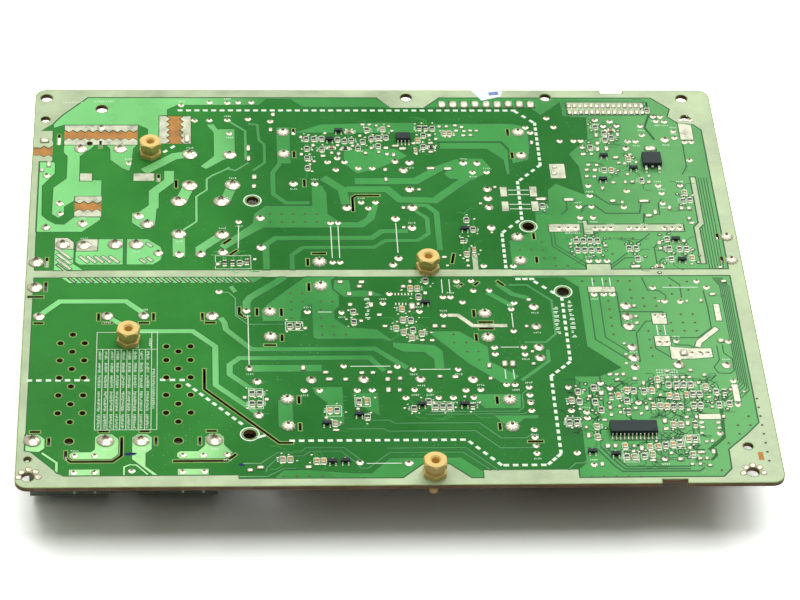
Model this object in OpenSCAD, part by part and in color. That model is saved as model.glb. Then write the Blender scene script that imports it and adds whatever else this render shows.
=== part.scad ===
// Power supply board of a flat television, solder side up, standing on its own components.
// X runs along the long side, Y away from the near edge, Z up; z = 0 is the surface it lies on.

/* [Board] */
// Length of the board along X
board_w = 240; // [236:1:246]
// Depth of the board along Y
board_d = 198.5; // [196:0.5:202]
// Thickness of the bare laminate
laminate_t = 1.5; // [1.2:0.1:2]
// Thickness of copper, tin and solder mask together
film_t = 0.1; // [0.08:0.01:0.2]
// Radius of the board's corners
corner_r = 4; // [2:0.5:6]
// Height of the board's underside over the surface, set by the tallest components
stand_h = 24.4; // [24:0.1:30]

/* [Fixing holes] */
// Spacing of the corner holes along X
hole_span_x = 226; // [222:1:228]
// Spacing of the corner holes along Y
hole_span_y = 189; // [186:1:191]
// Shift of the corner-hole rectangle towards the left edge
hole_shift = 3; // [1:0.5:4]
// Diameter of a corner hole
corner_hole_d = 4.1; // [3.2:0.1:4.5]
// Diameter of a ringed peg hole
peg_hole_d = 4.2; // [3:0.1:4.6]

/* [Vents and slots] */
// Diameter of a vent hole under the tall transformers
vent_d = 2; // [1.2:0.1:2.6]
// Distance between rows of vent holes
vent_pitch = 8.15; // [7:0.05:8.3]
// Width of an isolation slot
slot_w = 0.9; // [0.6:0.1:1.1]

/* [Hex spacers] */
// Width across the flats of a spacer
spacer_flats = 7; // [5.5:0.1:7.4]
// Height of a spacer over the board
spacer_h = 6; // [4:0.5:10]
// Bore in the top of a spacer
spacer_bore_d = 2.6; // [2:0.1:3.2]
// Depth of that bore
spacer_bore_h = 4.5; // [2:0.5:5]
// Diameter of the stud that goes down through the board
stud_d = 3; // [2:0.1:3.2]

/* [Chips] */
// Length of a chip resistor or capacitor
chip_l = 2; // [1.6:0.1:2.2]
// Width of a chip
chip_w = 1.25; // [0.8:0.05:1.3]
// Height of a chip
chip_h = 0.5; // [0.3:0.05:0.7]

/* [Print] */
// Length of a dash of the isolation line
dash_l = 1.75; // [1:0.05:2.2]
// Distance from one dash to the next
dash_pitch = 2.92; // [2.5:0.01:3.5]
// Width of the isolation line
dash_w = 1.05; // [0.6:0.05:1.4]

/* [Hidden] */
film_z = stand_h + laminate_t;
top_z = film_z + film_t;
print_t = 0.04;
land_t = 0.25;
half_w = board_w / 2;
half_d = board_d / 2;
notch_x = 85;
notch_w = 8;
notch_d = 1.8;
hole_x = hole_span_x / 2;
hole_y = hole_span_y / 2;
bus_top = 2;
bus_bottom = -1.4;

// Four corner holes, and the two more in the far border
corner_holes = [for (x = [-hole_x, hole_x], y = [-hole_y, hole_y]) [x - hole_shift, y]];
edge_holes = [[11.2, 95], [61, 95]];
// Peg holes with a printed ring, and the one with a bare ring
ringed_holes = [[-44.4, 38], [49.1, 24.2], [57.9, -9.3], [-47.2, -76.2]];
bare_ring_hole = [-96.5, 88.4];
// Plain holes: under the transformers and beside the corner holes
plain_holes = [[-103.7, -78.9, 2.8], [-69.6, -78.9, 2.8], [-116.3, -86.8, 2.4], [-100.4, 69, 2.2]];
land_holes = [[-116, 82.4, 3.2], [110, 83.4, 3.2], [110, -83, 3.2]];
// Where the spacers stand, and the turn of each
spacer_at = [[-79.3, 63.2, 8], [13.5, 2.5, 14], [-85.7, -32.8, -11], [10, -94, 0]];

// Vent holes: three columns under each tall transformer, the middle one half a step off
vent_columns = [[-103.7, -29.5, 6], [-107.6, -33.6, 5], [-99.8, -33.6, 5],
    [-69.6, -37.7, 5], [-73.5, -41.8, 4], [-65.7, -41.8, 4], [-73.5, -35.3, 1], [-65.7, -35.3, 1]];

// Isolation slots: each is a list of the points on its middle line
slots = [
    [[-61.3, -46], [-61.3, -55.5], [-38, -80.2], [-33.7, -80.2]],
    [[-104.6, -83.2], [-104.6, -86.4], [-103, -88], [-90, -88], [-87.3, -85.4], [-87.3, -77.2]],
    [[-71.3, -88], [-54.5, -88], [-51.6, -85]],
    [[-10.2, 32.2], [-10.2, 39.4], [-9, 40.6], [-0.8, 40.6]],
    [[-119, -11], [-113.8, -11]], [[-113.2, 8.6], [-113.2, 3.8]], [[-113.2, -3.8], [-113.2, -8.4]],
    [[-116.6, -23.9], [-113.4, -23.9]], [[-94.3, -23.9], [-91, -23.9]],
    [[-82.5, -23.9], [-79.1, -23.9]], [[-61, -23.9], [-57.5, -23.9]],
    [[-95.6, -19.2], [-95.6, -22.8]], [[-77.7, -19.2], [-77.7, -22.8]],
    [[-61.8, -19.2], [-61.8, -22.8]],
    [[-116, -74.6], [-112.8, -74.6]], [[-94.6, -74.6], [-91.4, -74.6]],
    [[-81.8, -74.6], [-78.6, -74.6]], [[-60.8, -74.6], [-57.6, -74.6]],
    [[-110, -77.4], [-110, -80.8]], [[-76.6, -77.3], [-76.6, -80.7]],
    [[-62.9, -77.4], [-62.9, -80.8]],
    [[-111, 74], [-111, 68.4]], [[-96.6, 70.4], [-96.6, 66.4]],
    [[-76.4, 52], [-76.4, 48.2]], [[-70.4, 49], [-70.4, 44.8]],
    [[-52, 18], [-54.6, 15.4]], [[-50, 12.2], [-52.5, 9.7]],
    [[-29.4, 77.2], [-29.4, 74]], [[-29.5, 64.6], [-29.5, 61.2]],
    [[46, 77], [46, 73.4]], [[46.6, 64], [46.6, 60.8]],
    [[-26.4, 49.2], [-26.4, 45.4]],
    [[-26.5, 7.8], [-26.5, 4.2]], [[-25, 10.4], [-20.2, 10.4]], [[-26.5, -4.6], [-26.5, -8.6]],
    [[-43.9, -17], [-43.9, -20.6]], [[-35.9, -17.2], [-35.9, -20.8]],
    [[-49.7, -16.4], [-49.7, -19.8], [-47.6, -21.6]],
    [[-36, -29.8], [-36, -33]], [[-41.9, -34.9], [-38, -34.9]],
    [[-31.3, -59], [-31.3, -62.4]], [[-31.3, -71.3], [-31.3, -74.7]],
    [[27.4, -18.2], [27.4, -21.6]], [[27.4, -30], [27.4, -33.4]],
    [[28.6, -24.2], [33.4, -24.2]], [[28.6, -27.4], [33.4, -27.4]],
    [[22.9, -6.8], [24.6, -5.2]], [[28.5, -6], [30, -4.3]], [[36.2, -3.8], [38.4, -6.2]],
    [[32, -59.6], [32, -63]], [[32, -71.8], [32, -75]], [[40.3, -80.3], [45.2, -80.3]],
    [[50.5, 20.6], [50.5, 17.4]], [[50.5, 8.4], [50.5, 5.4]],
    [[21.8, 5.2], [22.8, 10.2]], [[113.3, 8.2], [113.3, 5]], [[113.3, 20.2], [113.3, 17]],
];

// Where the solder mask stops: the inner edge of the tinned border, clockwise from the far left
mask_edge = [
    [-101.5, 94.8], [0.6, 94.8], [5.4, 89.1], [17.2, 89.1], [23, 94.8], [98.8, 94.8], [104.9, 88.4],
    [103.6, 84], [107, 80.4], [112.4, 79.6], [114.9, 76.5], [114.9, -72.3], [110, -78], [103.7, -84.3],
    [103.5, -93], [100.6, -96.4], [55.3, -96.4], [55.3, -92.9], [25.4, -92.9], [25.4, -96.2],
    [21.5, -96.2], [15, -90], [6.5, -90], [0, -96], [-51, -96], [-51, -94.4], [-105, -94.4],
    [-107, -93], [-115.4, -83.8], [-117.4, -83], [-117.4, 76], [-113, 80.3], [-110, 85],
];

// Spark gaps: centre, turn, length and the bare gap between the teeth
spark_gaps = [[-96.5, 73.6, 0, 25.4, 3.4], [-70.8, 76.6, 90, 15.4, 3.6],
    [-116, 64.6, 0, 6, 3.8], [-100.2, 35, 0, 9.1, 3.2]];
tooth_pitch = 2.9;
tooth_h = 1.3;
comb_w = 2.4;

// Broad copper areas
planes = [
    [[-101.5, 94.8], [-110, 85], [-113, 80.3], [-113, 77.6], [-109.4, 79.4], [-83.6, 79.4],
        [-80.2, 77], [-80.2, 73], [-76.2, 73], [-76.2, 84.6], [-73.6, 84.8], [-73.6, 88], [-70, 90.6],
        [-41.2, 90.6], [-38.5, 94], [-30, 94], [-26, 89.6], [-1, 89.6], [5, 89.2], [0.6, 94.8]],
    [[17.4, 89.3], [55, 89.3], [58.5, 85], [66, 92.5], [62, 94.8], [23, 94.8]],
    [[-109.2, 68.3], [-109.2, 64], [-107.8, 62], [-107.8, 50], [-112.2, 45], [-112.3, 31], [-110, 29],
        [-108.3, 31], [-108.3, 35], [-105, 38], [-105, 40.5], [-95.9, 40.5], [-95.9, 49], [-103.5, 49],
        [-103.6, 62], [-100, 66], [-98.4, 68.3]],
    [[-117.4, 21.8], [-102, 21.8], [-96, 28], [-96, 29.4], [-104.8, 29.4], [-108, 25.6], [-111, 25.8],
        [-113.8, 28], [-115.8, 30.5], [-116.1, 46], [-114.6, 48.5], [-112, 52.5], [-112, 58],
        [-113.8, 60.4], [-117.4, 60.4]],
    [[-94.6, 68.3], [-93.2, 66], [-93, 60], [-89, 55.5], [-86.5, 54], [-85.8, 57],
        [-85.3, 66], [-84, 68.3]],
    [[-85.3, 31.5], [-77, 34], [-77.5, 25], [-79, 23.3], [-82, 23.3], [-85.3, 26.5]],
    [[-59.8, 79.5], [-57.2, 79.8], [-56, 77], [-50, 77], [-50, 61.5], [-54, 60], [-60, 55], [-62, 56.5],
        [-57.3, 62], [-57.3, 75]],
    [[-40, 35.2], [-24, 35.2], [-24, 46], [-20.5, 46], [-19, 42], [-19, 31], [-15, 26.8], [-9, 26.5],
        [-6, 29], [-3.4, 36], [-1.4, 36], [-3.2, 28], [-7, 23.8], [-41, 23.8], [-48, 18], [-54, 12.5],
        [-56, 14.5], [-44.5, 26], [-44, 31]],
    [[20, 80], [48, 80], [53, 78], [53, 67], [52, 60], [46.5, 58], [45.8, 66], [43.4, 70.2], [20, 70.2]],
    [[21.5, 69.3], [43, 69.3], [45.2, 65], [44.8, 52], [44, 52], [43.4, 60], [38, 66], [21.5, 66]],
    [[-29, 75], [-20, 79.6], [0, 80.6], [14, 80.6], [14, 75]],
    [[-12, 66], [6, 66], [10, 62], [-1, 55], [-8, 52.5], [-12.5, 58]],
    [[22, 52.4], [28.4, 59.4], [30, 60.6], [36, 60.6], [39, 54.6], [32, 49], [24, 49.6]],
    [[-27.5, -1.4], [-17, -1.4], [-19, -3], [-19, -7.6], [-16.8, -10.4], [-16.8, -16], [-18.6, -18.2],
        [-18.6, -22], [-14.5, -26.5], [-5, -27.5], [0, -33], [-3.5, -32], [-25, -32], [-25.8, -31],
        [-25.8, -14.8], [-29.4, -18], [-29.8, -23.2], [-42, -23.2], [-42.5, -18], [-40, -14.5]],
    [[-18, -3], [-13, -3], [-12.6, -8.4], [-6, -8.4], [-2, -11], [-9, -11.5], [-15, -11.5], [-18.4, -7.4]],
    [[11.5, -28.5], [22, -28.5], [27, -33], [30.8, -36], [30.9, -43], [40, -50], [36, -55], [24, -44]],
    [[0, -36], [3, -38.3], [10, -38.5], [13, -42], [13, -46.5], [16, -46.5], [16, -38], [13.5, -35.2],
        [0, -33.8]],
    [[-117.4, -75.8], [-113.2, -75.8], [-111.3, -77.8], [-111.3, -82], [-113, -83.6], [-117.4, -83]],
    [[-95.6, -77.2], [-94.2, -75.8], [-90.4, -75.8], [-88.3, -78], [-88.3, -84.8], [-90.4, -86.9],
        [-102.4, -86.9], [-103.4, -86], [-103.4, -84.6], [-102.4, -83.8], [-96.8, -83.8], [-95.6, -82.6]],
    [[-84, -77.4], [-82.4, -75.8], [-79.4, -75.8], [-77.9, -77.3], [-77.9, -82.6], [-79.8, -84.4],
        [-79.8, -90.2], [-76, -94], [-77.4, -94], [-84, -87]],
    [[-61.3, -77.4], [-59.8, -75.8], [-56.8, -75.8], [-55.3, -77.4], [-55.3, -80.8], [-52.6, -84.4],
        [-55, -86.9], [-69, -86.9], [-70, -86], [-70, -84.4], [-69, -83.6], [-63.4, -83.6], [-61.3, -81]],
    [[-103.4, -91.4], [-93.9, -91.4], [-93.9, -94], [-103.4, -94]],
    [[-69.8, -91.4], [-60.2, -91.4], [-60.2, -94], [-69.8, -94]],
    [[-27, -54.8], [-17.3, -54.8], [-17.3, -72], [-22.5, -72], [-22.5, -62], [-26, -58]],
    [[-14, -57.5], [-6, -57.5], [-6, -68], [-10, -65], [-12, -63], [-14, -60]],
    [[24.5, -58.5], [39.8, -58.5], [39.3, -65], [28, -65], [25, -62]],
    [[30.5, -68.3], [44.6, -68.3], [44.4, -69.8], [40, -69.8], [38, -72], [33, -72]],
    [[-40, -95.9], [-37, -92.4], [-30, -92.2], [-15, -93.9], [-9.5, -93.9], [-3.5, -87.2], [18.6, -87.2],
        [25.2, -93.6], [25.2, -96.2], [21.5, -96.2], [15, -90], [6.5, -90], [0, -96]],
    [[42, 2], [42, 16.5], [47.5, 19.8], [52, 23], [52, 31.5], [57, 35.5], [57.5, 43.5], [60.5, 46.8],
        [70, 41], [69.5, 56], [66.5, 63], [74, 72], [74.5, 83.5], [66.3, 84.5], [66, 92.5], [62, 94.8],
        [98.8, 94.8], [104.9, 88.4], [103.6, 84], [107, 80.4], [112.4, 79.6], [114.9, 76.5],
        [114.9, -72.3], [110, -78], [103.7, -84.3], [103.5, -93], [100.6, -96.4], [55.3, -96.4],
        [55.3, -92.9], [58, -90], [58, -50.5], [66, -50.5], [73.6, -46.4], [63.4, -36], [63.4, -7],
        [58.6, -2.2], [42, -2.2]],
];

// Copper tracks: width, then the points of the middle line
tracks = [
    [2.1, [[-115, -20.4], [-108.4, -13.3], [-86.8, -13.3], [-80.4, -19.8]]],
    [2, [[-92.6, -21], [-88.4, -24.4]]],
    [2, [[-83, -28], [-65, -28], [-57.7, -35.4], [-57.7, -53.6], [-44.4, -67]]],
    [2, [[-55.9, -21.5], [-54.6, -24], [-54.2, -27.2], [-46, -36.8], [-6, -36.8], [4, -46]]],
    [2, [[-3.4, -47.4], [-8, -41], [-50, -41], [-53.2, -44.2], [-53.2, -48.6], [-45, -57]]],
    [3.2, [[-46.8, -45.9], [-23.6, -45.9]]],
    [2.6, [[-34.4, -1.2], [-37.2, -4], [-46, -11.6], [-47.3, -14], [-47.3, -18]]],
    [3.6, [[-66, 63], [-71, 62], [-81.5, 53.6]]],
    [3.4, [[-72.8, 54], [-72.8, 48.6], [-78, 42.6], [-78, 35], [-82, 30.6]]],
    [4, [[-66, 46], [-68.6, 38]]], [4.2, [[-69.5, 21], [-69.4, 9]]],
    [0.8, [[-52, 56], [-53.6, 54.5], [-58, 51.5], [-59.9, 49.5], [-59.9, 43.8], [-63.5, 40.2],
        [-63.5, 27], [-68, 22.6]]],
    [3.6, [[-51.2, 46.2], [-53.6, 38]]], [3.4, [[-55, 20], [-62.2, 13], [-62.2, 9]]],
    [1, [[-52.3, 82], [-50.5, 80], [-46.3, 76], [-46.3, 60]]],
    [1, [[-45.2, 80], [-42, 79.5], [-41.6, 71], [-39.8, 68.5], [-39.8, 58.5], [-44, 54]]],
    [0.8, [[-45.3, 58.5], [-50, 54.2], [-52.5, 55]]],
    [4.6, [[-33.1, 78], [-33.1, 58]]],
    [1.7, [[-34.6, 58], [-37.2, 53], [-37.2, 41.5], [-33, 36.8], [-25, 36.8]]],
    [2.2, [[-40.3, 2], [-40.3, 15], [-37, 18.4], [-4.5, 18.4], [-1, 21.8], [8, 21.8]]],
    [1.6, [[-31.7, 2], [-31.7, 9.5], [-28, 13.5], [-4, 13.5], [0, 17], [11, 17], [14.8, 20.5],
        [14.8, 28.5], [11, 32.5]]],
    [2, [[10, 35.5], [15, 35.5], [18.2, 31.5], [18.2, 12]]],
    [3.2, [[-20, 50.4], [-13.5, 44], [-12.6, 36]]],
    [3.4, [[-9, 48.4], [12, 48.4], [20, 55], [28, 59]]],
    [3.2, [[-12, 44], [2, 44], [6, 38.5], [18, 38], [30, 50], [36, 55.6]]],
    [0.5, [[-49.5, -89.2], [-44, -89.2], [-38.5, -84.3], [-31.5, -84.3], [-29.8, -82.4], [-17.8, -82.4],
        [-12.8, -88]]],
    [0.5, [[-42.5, -93], [-42, -91], [-38, -86], [-30.5, -86], [-28.5, -84], [-18.8, -84], [-14, -89.5],
        [-13, -91.6], [-10.5, -91.6], [-3.6, -84.8], [19.4, -84.8], [27.6, -92.8]]],
    [0.5, [[-50.8, -95], [-42, -95], [-36.6, -91.4], [-33, -91.4]]],
    [0.5, [[-4.4, -82.8], [20.4, -82.8], [30, -92.8]]],
    [0.5, [[-11, -70.2], [-3, -70.2], [-1.4, -71.6], [25.5, -71.6], [32, -78.6], [40, -78.6],
        [42.3, -76.4]]],
    [0.5, [[-16.6, -74], [-5, -74], [-3.6, -75.2], [24, -75.2], [31.5, -83], [42, -83]]],
    [0.5, [[8.5, -67.6], [40, -67.6], [42, -66.3]]],
    [0.5, [[10, -66.4], [38.5, -66.4], [40.2, -64.6], [40.2, -58.5], [43, -55.5]]],
    [0.5, [[52, -92.8], [54.6, -90], [57.2, -90], [60.4, -87]]],
    [0.9, [[40, -5.8], [46, -5.8], [53.6, -13.6], [53.6, -30], [50, -34], [43, -34]]],
    [2, [[32.4, -9.4], [39.6, -15.6], [39.9, -18]]], [2, [[36, -5.2], [40.8, -10.4], [46, -12.4]]],
    [1.3, [[50.2, -37.6], [50.2, -43], [40.6, -52.2]]],
    [4.6, [[-35.7, -60.6], [-35.7, -73]]], [1.6, [[-52.4, -6], [-50.8, -9]]],
    [0.5, [[-56.3, -9], [-53.2, -9], [-50.9, -12], [-50.9, -20.6], [-47, -24.8], [-34, -24.8]]],
    [0.8, [[-112, -84], [-107.3, -88.4], [-107.3, -93.4]]],
    [0.6, [[-86.4, -94], [-86.4, -90.4], [-84.6, -89.4], [-82.6, -89.6], [-79, -93.8]]],
];

// Bare lines that part the copper areas
gaps = concat([
    [0.4, [[66.4, -9.5], [66.4, -32.8], [77.5, -43.8], [80, -43.6], [80.2, -30], [84, -24], [86.2, -24]]],
    [0.35, [[69.8, -9.5], [69.8, -31.8], [77, -39]]],
    [0.45, [[75.8, -9.6], [75.8, -26.5], [78.3, -28.6], [80.3, -28.6]]],
    [0.45, [[76, -19.4], [90, -19.4], [91.2, -21]]],
    [0.4, [[85, -2.3], [86.3, -8.7], [89.8, -8.8], [92, -11.3], [92, -13]]],
    [0.4, [[94, -2.3], [97.4, -6], [97.2, -12.5]]],
    [0.4, [[104.9, -9], [105.4, -17], [105.3, -27.5], [100.4, -32.2], [91.2, -32.2]]],
    [0.4, [[85.8, -31.5], [85.8, -37.3], [90.2, -41.4]]],
    [0.4, [[91.4, -33], [92.8, -35.7], [97, -35.8], [98.4, -37]]],
    [0.35, [[107.9, -35.5], [107.8, -39.5], [110.3, -42.4], [110.2, -48], [108.8, -49.4], [105, -49.2],
        [103.8, -46.5], [106, -43], [106, -36]]],
    [0.4, [[56.4, 21], [56.4, 13.8], [66.7, 3.4]]], [0.35, [[57.6, 21], [57.6, 14.4], [66.9, 5]]],
    [0.4, [[75.4, 2.6], [80.5, 7.8], [83.8, 7.8]]], [0.4, [[75.6, 4.2], [81.4, 10.2]]],
    [0.4, [[91, 4], [91, 13], [92, 14.6]]],
    [0.5, [[63.2, 37], [63.2, 33], [61, 30.4]]],
    [0.5, [[70.5, 41.3], [73, 41.3], [77.8, 36], [81.6, 35.6]]],
    [0.5, [[67.8, 31.5], [69.5, 35.2], [72.8, 35.2], [76.4, 31], [88, 31], [89, 36]]],
    [0.35, [[85.6, 15.2], [90.3, 20.4]]], [0.4, [[94.8, 30], [95, 36], [96.4, 38.6]]],
    [0.6, [[89.5, 31], [88.8, 26]]], [0.4, [[107.4, 79], [107.2, 56], [105.2, 52]]],
    [0.8, [[97, 92.4], [97, 84.6], [94.8, 78], [97.6, 71]]],
    [0.5, [[66, -50.4], [66, -52.4], [62, -56], [62, -66]]],
    [0.5, [[104, -50], [102, -52.6], [98, -52.6]]],
    [0.5, [[82.6, -77.2], [84.2, -79], [90.6, -79]]], [0.5, [[67.4, -79.9], [90, -79.9]]],
    [0.5, [[62, -84], [67, -92], [69, -93.9], [93.4, -93.9], [95, -92.4]]],
    [0.5, [[63.2, -83], [68, -90.6], [70, -92.9], [90.6, -92.9]]],
    [0.5, [[64.4, -82.4], [69, -89.6], [70.6, -91.8], [90.8, -91.8]]],
    [0.9, [[99.4, -84], [99.4, -87], [97.6, -89.2]]],
    [1.2, [[103.6, -66], [102.8, -79], [97.4, -84.6]]],
], [for (i = [0:5]) [0.3, [[108.6 + 0.95 * i, 50], [108.6 + 0.95 * i, 2.2]]]],
   [for (i = [0:5]) [0.3, [[108.9 + 0.6 * i, -2.4], [110.8 + 0.6 * i, -7], [110.8 + 0.6 * i, -52.4 - i],
        [104 + 0.9 * i, -60.6 - 0.6 * i]]]]);

// Tinned copper inside the mask: polygons
tin_shapes = [
    [[-110.8, 12.8], [-110.8, 18.6], [-106.6, 18.6], [-104.6, 16.4], [-104.6, 12.8]],
    [[-103.6, 12], [-103.6, 15.6], [-101.4, 17.9], [-96.6, 17.9], [-96.6, 12]],
    [[-117.4, 67.6], [-117.4, 76], [-113.3, 76], [-113.3, 67.6]],
    [[59.1, 49.8], [59.1, 57.6], [64.4, 57.6], [64.4, 49.8]],
    [[56, 21.3], [56, 25.3], [66.7, 25.3], [66.7, 21.3]],
    [[67.8, 19.8], [67.8, 27.3], [69.5, 27.3], [69.5, 25.3], [102.4, 25.3], [102.4, 21.3], [71.2, 21.3],
        [71.2, 19.8]],
    [[66.9, 1.6], [66.9, 4.8], [75.3, 4.8], [75.3, 1.6]],
    [[66.4, -9.5], [66.4, -6.9], [75.4, -6.9], [75.4, -9.5]],
    [[86.2, -25.5], [86.2, -20.2], [91, -20.2], [91, -25.5]],
    [[86, -36.2], [86, -31.3], [91, -31.3], [91, -36.2]],
    [[90.4, -42.4], [90.4, -36.4], [97, -37.4], [104.1, -37.4], [104.1, -41.7], [97, -42.4]],
    [[68, 85], [68, 92.4], [95.7, 92.4], [95.7, 85]],
    [[107, 71], [107, 80.2], [111.6, 79.5], [111.6, 71]],
    [[-103.3, 48.6], [-103.3, 52.6], [-99.2, 52.6], [-99.2, 48.6]],
    [[-85, 48.6], [-85, 52.6], [-77.9, 52.6], [-77.9, 48.6]],
    [[28.8, 2], [28.8, 9.9], [30.6, 9.9], [30.6, 2]],
    [[96, -70.7], [96, -68.3], [103, -68.3], [103, -70.7]],
    [[40.9, 40], [40.9, 45.1], [43.2, 45.1], [43.2, 40]],
    [[40.9, 32.2], [40.9, 37.3], [43.2, 37.3], [43.2, 32.2]],
    [[51.1, 40], [51.1, 45.3], [53.5, 45.3], [53.5, 40]],
    [[51.1, 32.2], [51.1, 37.3], [53.5, 37.3], [53.5, 32.2]],
];

// Tinned tracks: width, then the points of the middle line
tin_tracks = [
    [2, [[108.6, 50.5], [108.6, 25.6], [106.8, 23.4], [106.8, 4.6]]],
    [1.9, [[108.4, -15.8], [108.4, -24]]], [1.8, [[107.2, -27.6], [100.4, -34.4], [99.6, -36.8]]],
    [1.5, [[18.6, -20.8], [22, -20.8], [26.6, -26], [38, -26]]], [2, [[109.4, -54.6], [109.4, -62.6]]],
];

// Joints of stout pins with lobed lands
star_joints = [
    [-33.1, 75, 5], [-33.1, 63, 5], [49.7, 75, 5], [49.7, 62, 4.6], [-22.6, 5.9, 5.4], [-22.6, -6.2, 5.4],
    [-39.7, -18.9, 5], [-39.7, -31, 5], [31, -20.1, 5], [31.2, -31.8, 5], [-35, -60.5, 5], [-35, -72.7, 5],
    [36, -61.3, 5.2], [35.9, -73.6, 5.2], [44.9, 18.4, 4.8], [44.9, 6.3, 5], [116.4, 18.4, 4.8],
    [116.5, 6.4, 4.8],
];

// Large round joints
large_joints = [
    [-116.8, 6.2, 5.4], [-116.8, -6.4, 5.4], [-103.4, 66, 4.8], [-89.8, 66, 4.8], [-65.7, 62.8, 5.4],
    [-51.9, 62.6, 4.8], [-65.8, 46, 5.6], [-51.1, 46.2, 5.6], [-69.5, 37.5, 5.6], [-54.9, 37.5, 5.8],
    [-69.5, 20.4, 5.2], [-54.9, 20, 4.8], [-80.1, 25.6, 4.8], [-83.1, 29.9, 3.8], [-101.9, 26, 3.8],
    [-115.2, -78.6, 5.6], [-92.4, -78.8, 5.6], [-81.2, -78.8, 5.2], [-58.4, -78.8, 5.6],
    [-115, -20.7, 3.9], [-92.8, -20.6, 4.2], [-80.9, -20.5, 3.8], [-58.6, -20.8, 4.4],
    [-69.4, 10, 3.6], [-62.2, 10, 3.6], [-108.2, 15.2, 4.8], [-101.2, 14.9, 4.8], [-90.7, 15.2, 5.2],
    [-83.7, 15.2, 5.2], [-76.3, 10.7, 3.4], [-41.9, 28.7, 3.2], [-41.9, 13.4, 3.4], [-54.8, 11, 3.6],
    [9.7, 43.7, 3.4], [10.1, 33.9, 3.8], [9.4, 23.4, 3.2], [4, 28.2, 3.2], [4, 7.7, 3], [2, 4.3, 3],
    [36.5, 43.7, 3.2], [36.4, 38.9, 3.2], [36.4, 34.1, 3.2], [36.4, 23.4, 3.2], [-12.3, 33.9, 3.4],
    [-30.2, 46.8, 3.2], [-22.8, 46.8, 2.8], [78.1, -16.5, 3.8], [78.1, -21.9, 3.8], [78.1, -26.6, 3.8],
    [78.1, -36.8, 3.6], [78.1, -41.9, 3.8], [78.1, -46.3, 3.2], [47.5, -16.9, 3.4], [47.5, -26.6, 3.4],
    [47.5, -36.6, 3.6], [47.5, -41.7, 3.6], [-27.1, -51.6, 3.6], [-10.3, -51.5, 3.6], [8, -51.5, 3.4],
    [24.9, -51.7, 3.4], [-44.5, -52.2, 3.2], [-44.3, -67.7, 3.4], [92.4, -45.3, 4], [108.1, -45.5, 3.4],
    [101.3, 70.9, 3.4], [-47.4, -18.3, 2.8], [-46.9, -46.1, 2.8], [2.2, -89.7, 2.8], [-13.1, -89.3, 2.6],
    [87, 66, 2.8], [10.4, 58.2, 3.1], [8.1, 54, 3.4], [5.4, 58.8, 2.8], [29.2, 58, 2.9], [33.9, 57.8, 2.9],
    [-96.5, 77.6, 3], [-109.9, 36.7, 2.9], [-109.5, 31.2, 2.4], [-114.1, 24, 3.2],
    [-114.7, 51.4, 2.8],
];

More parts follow.
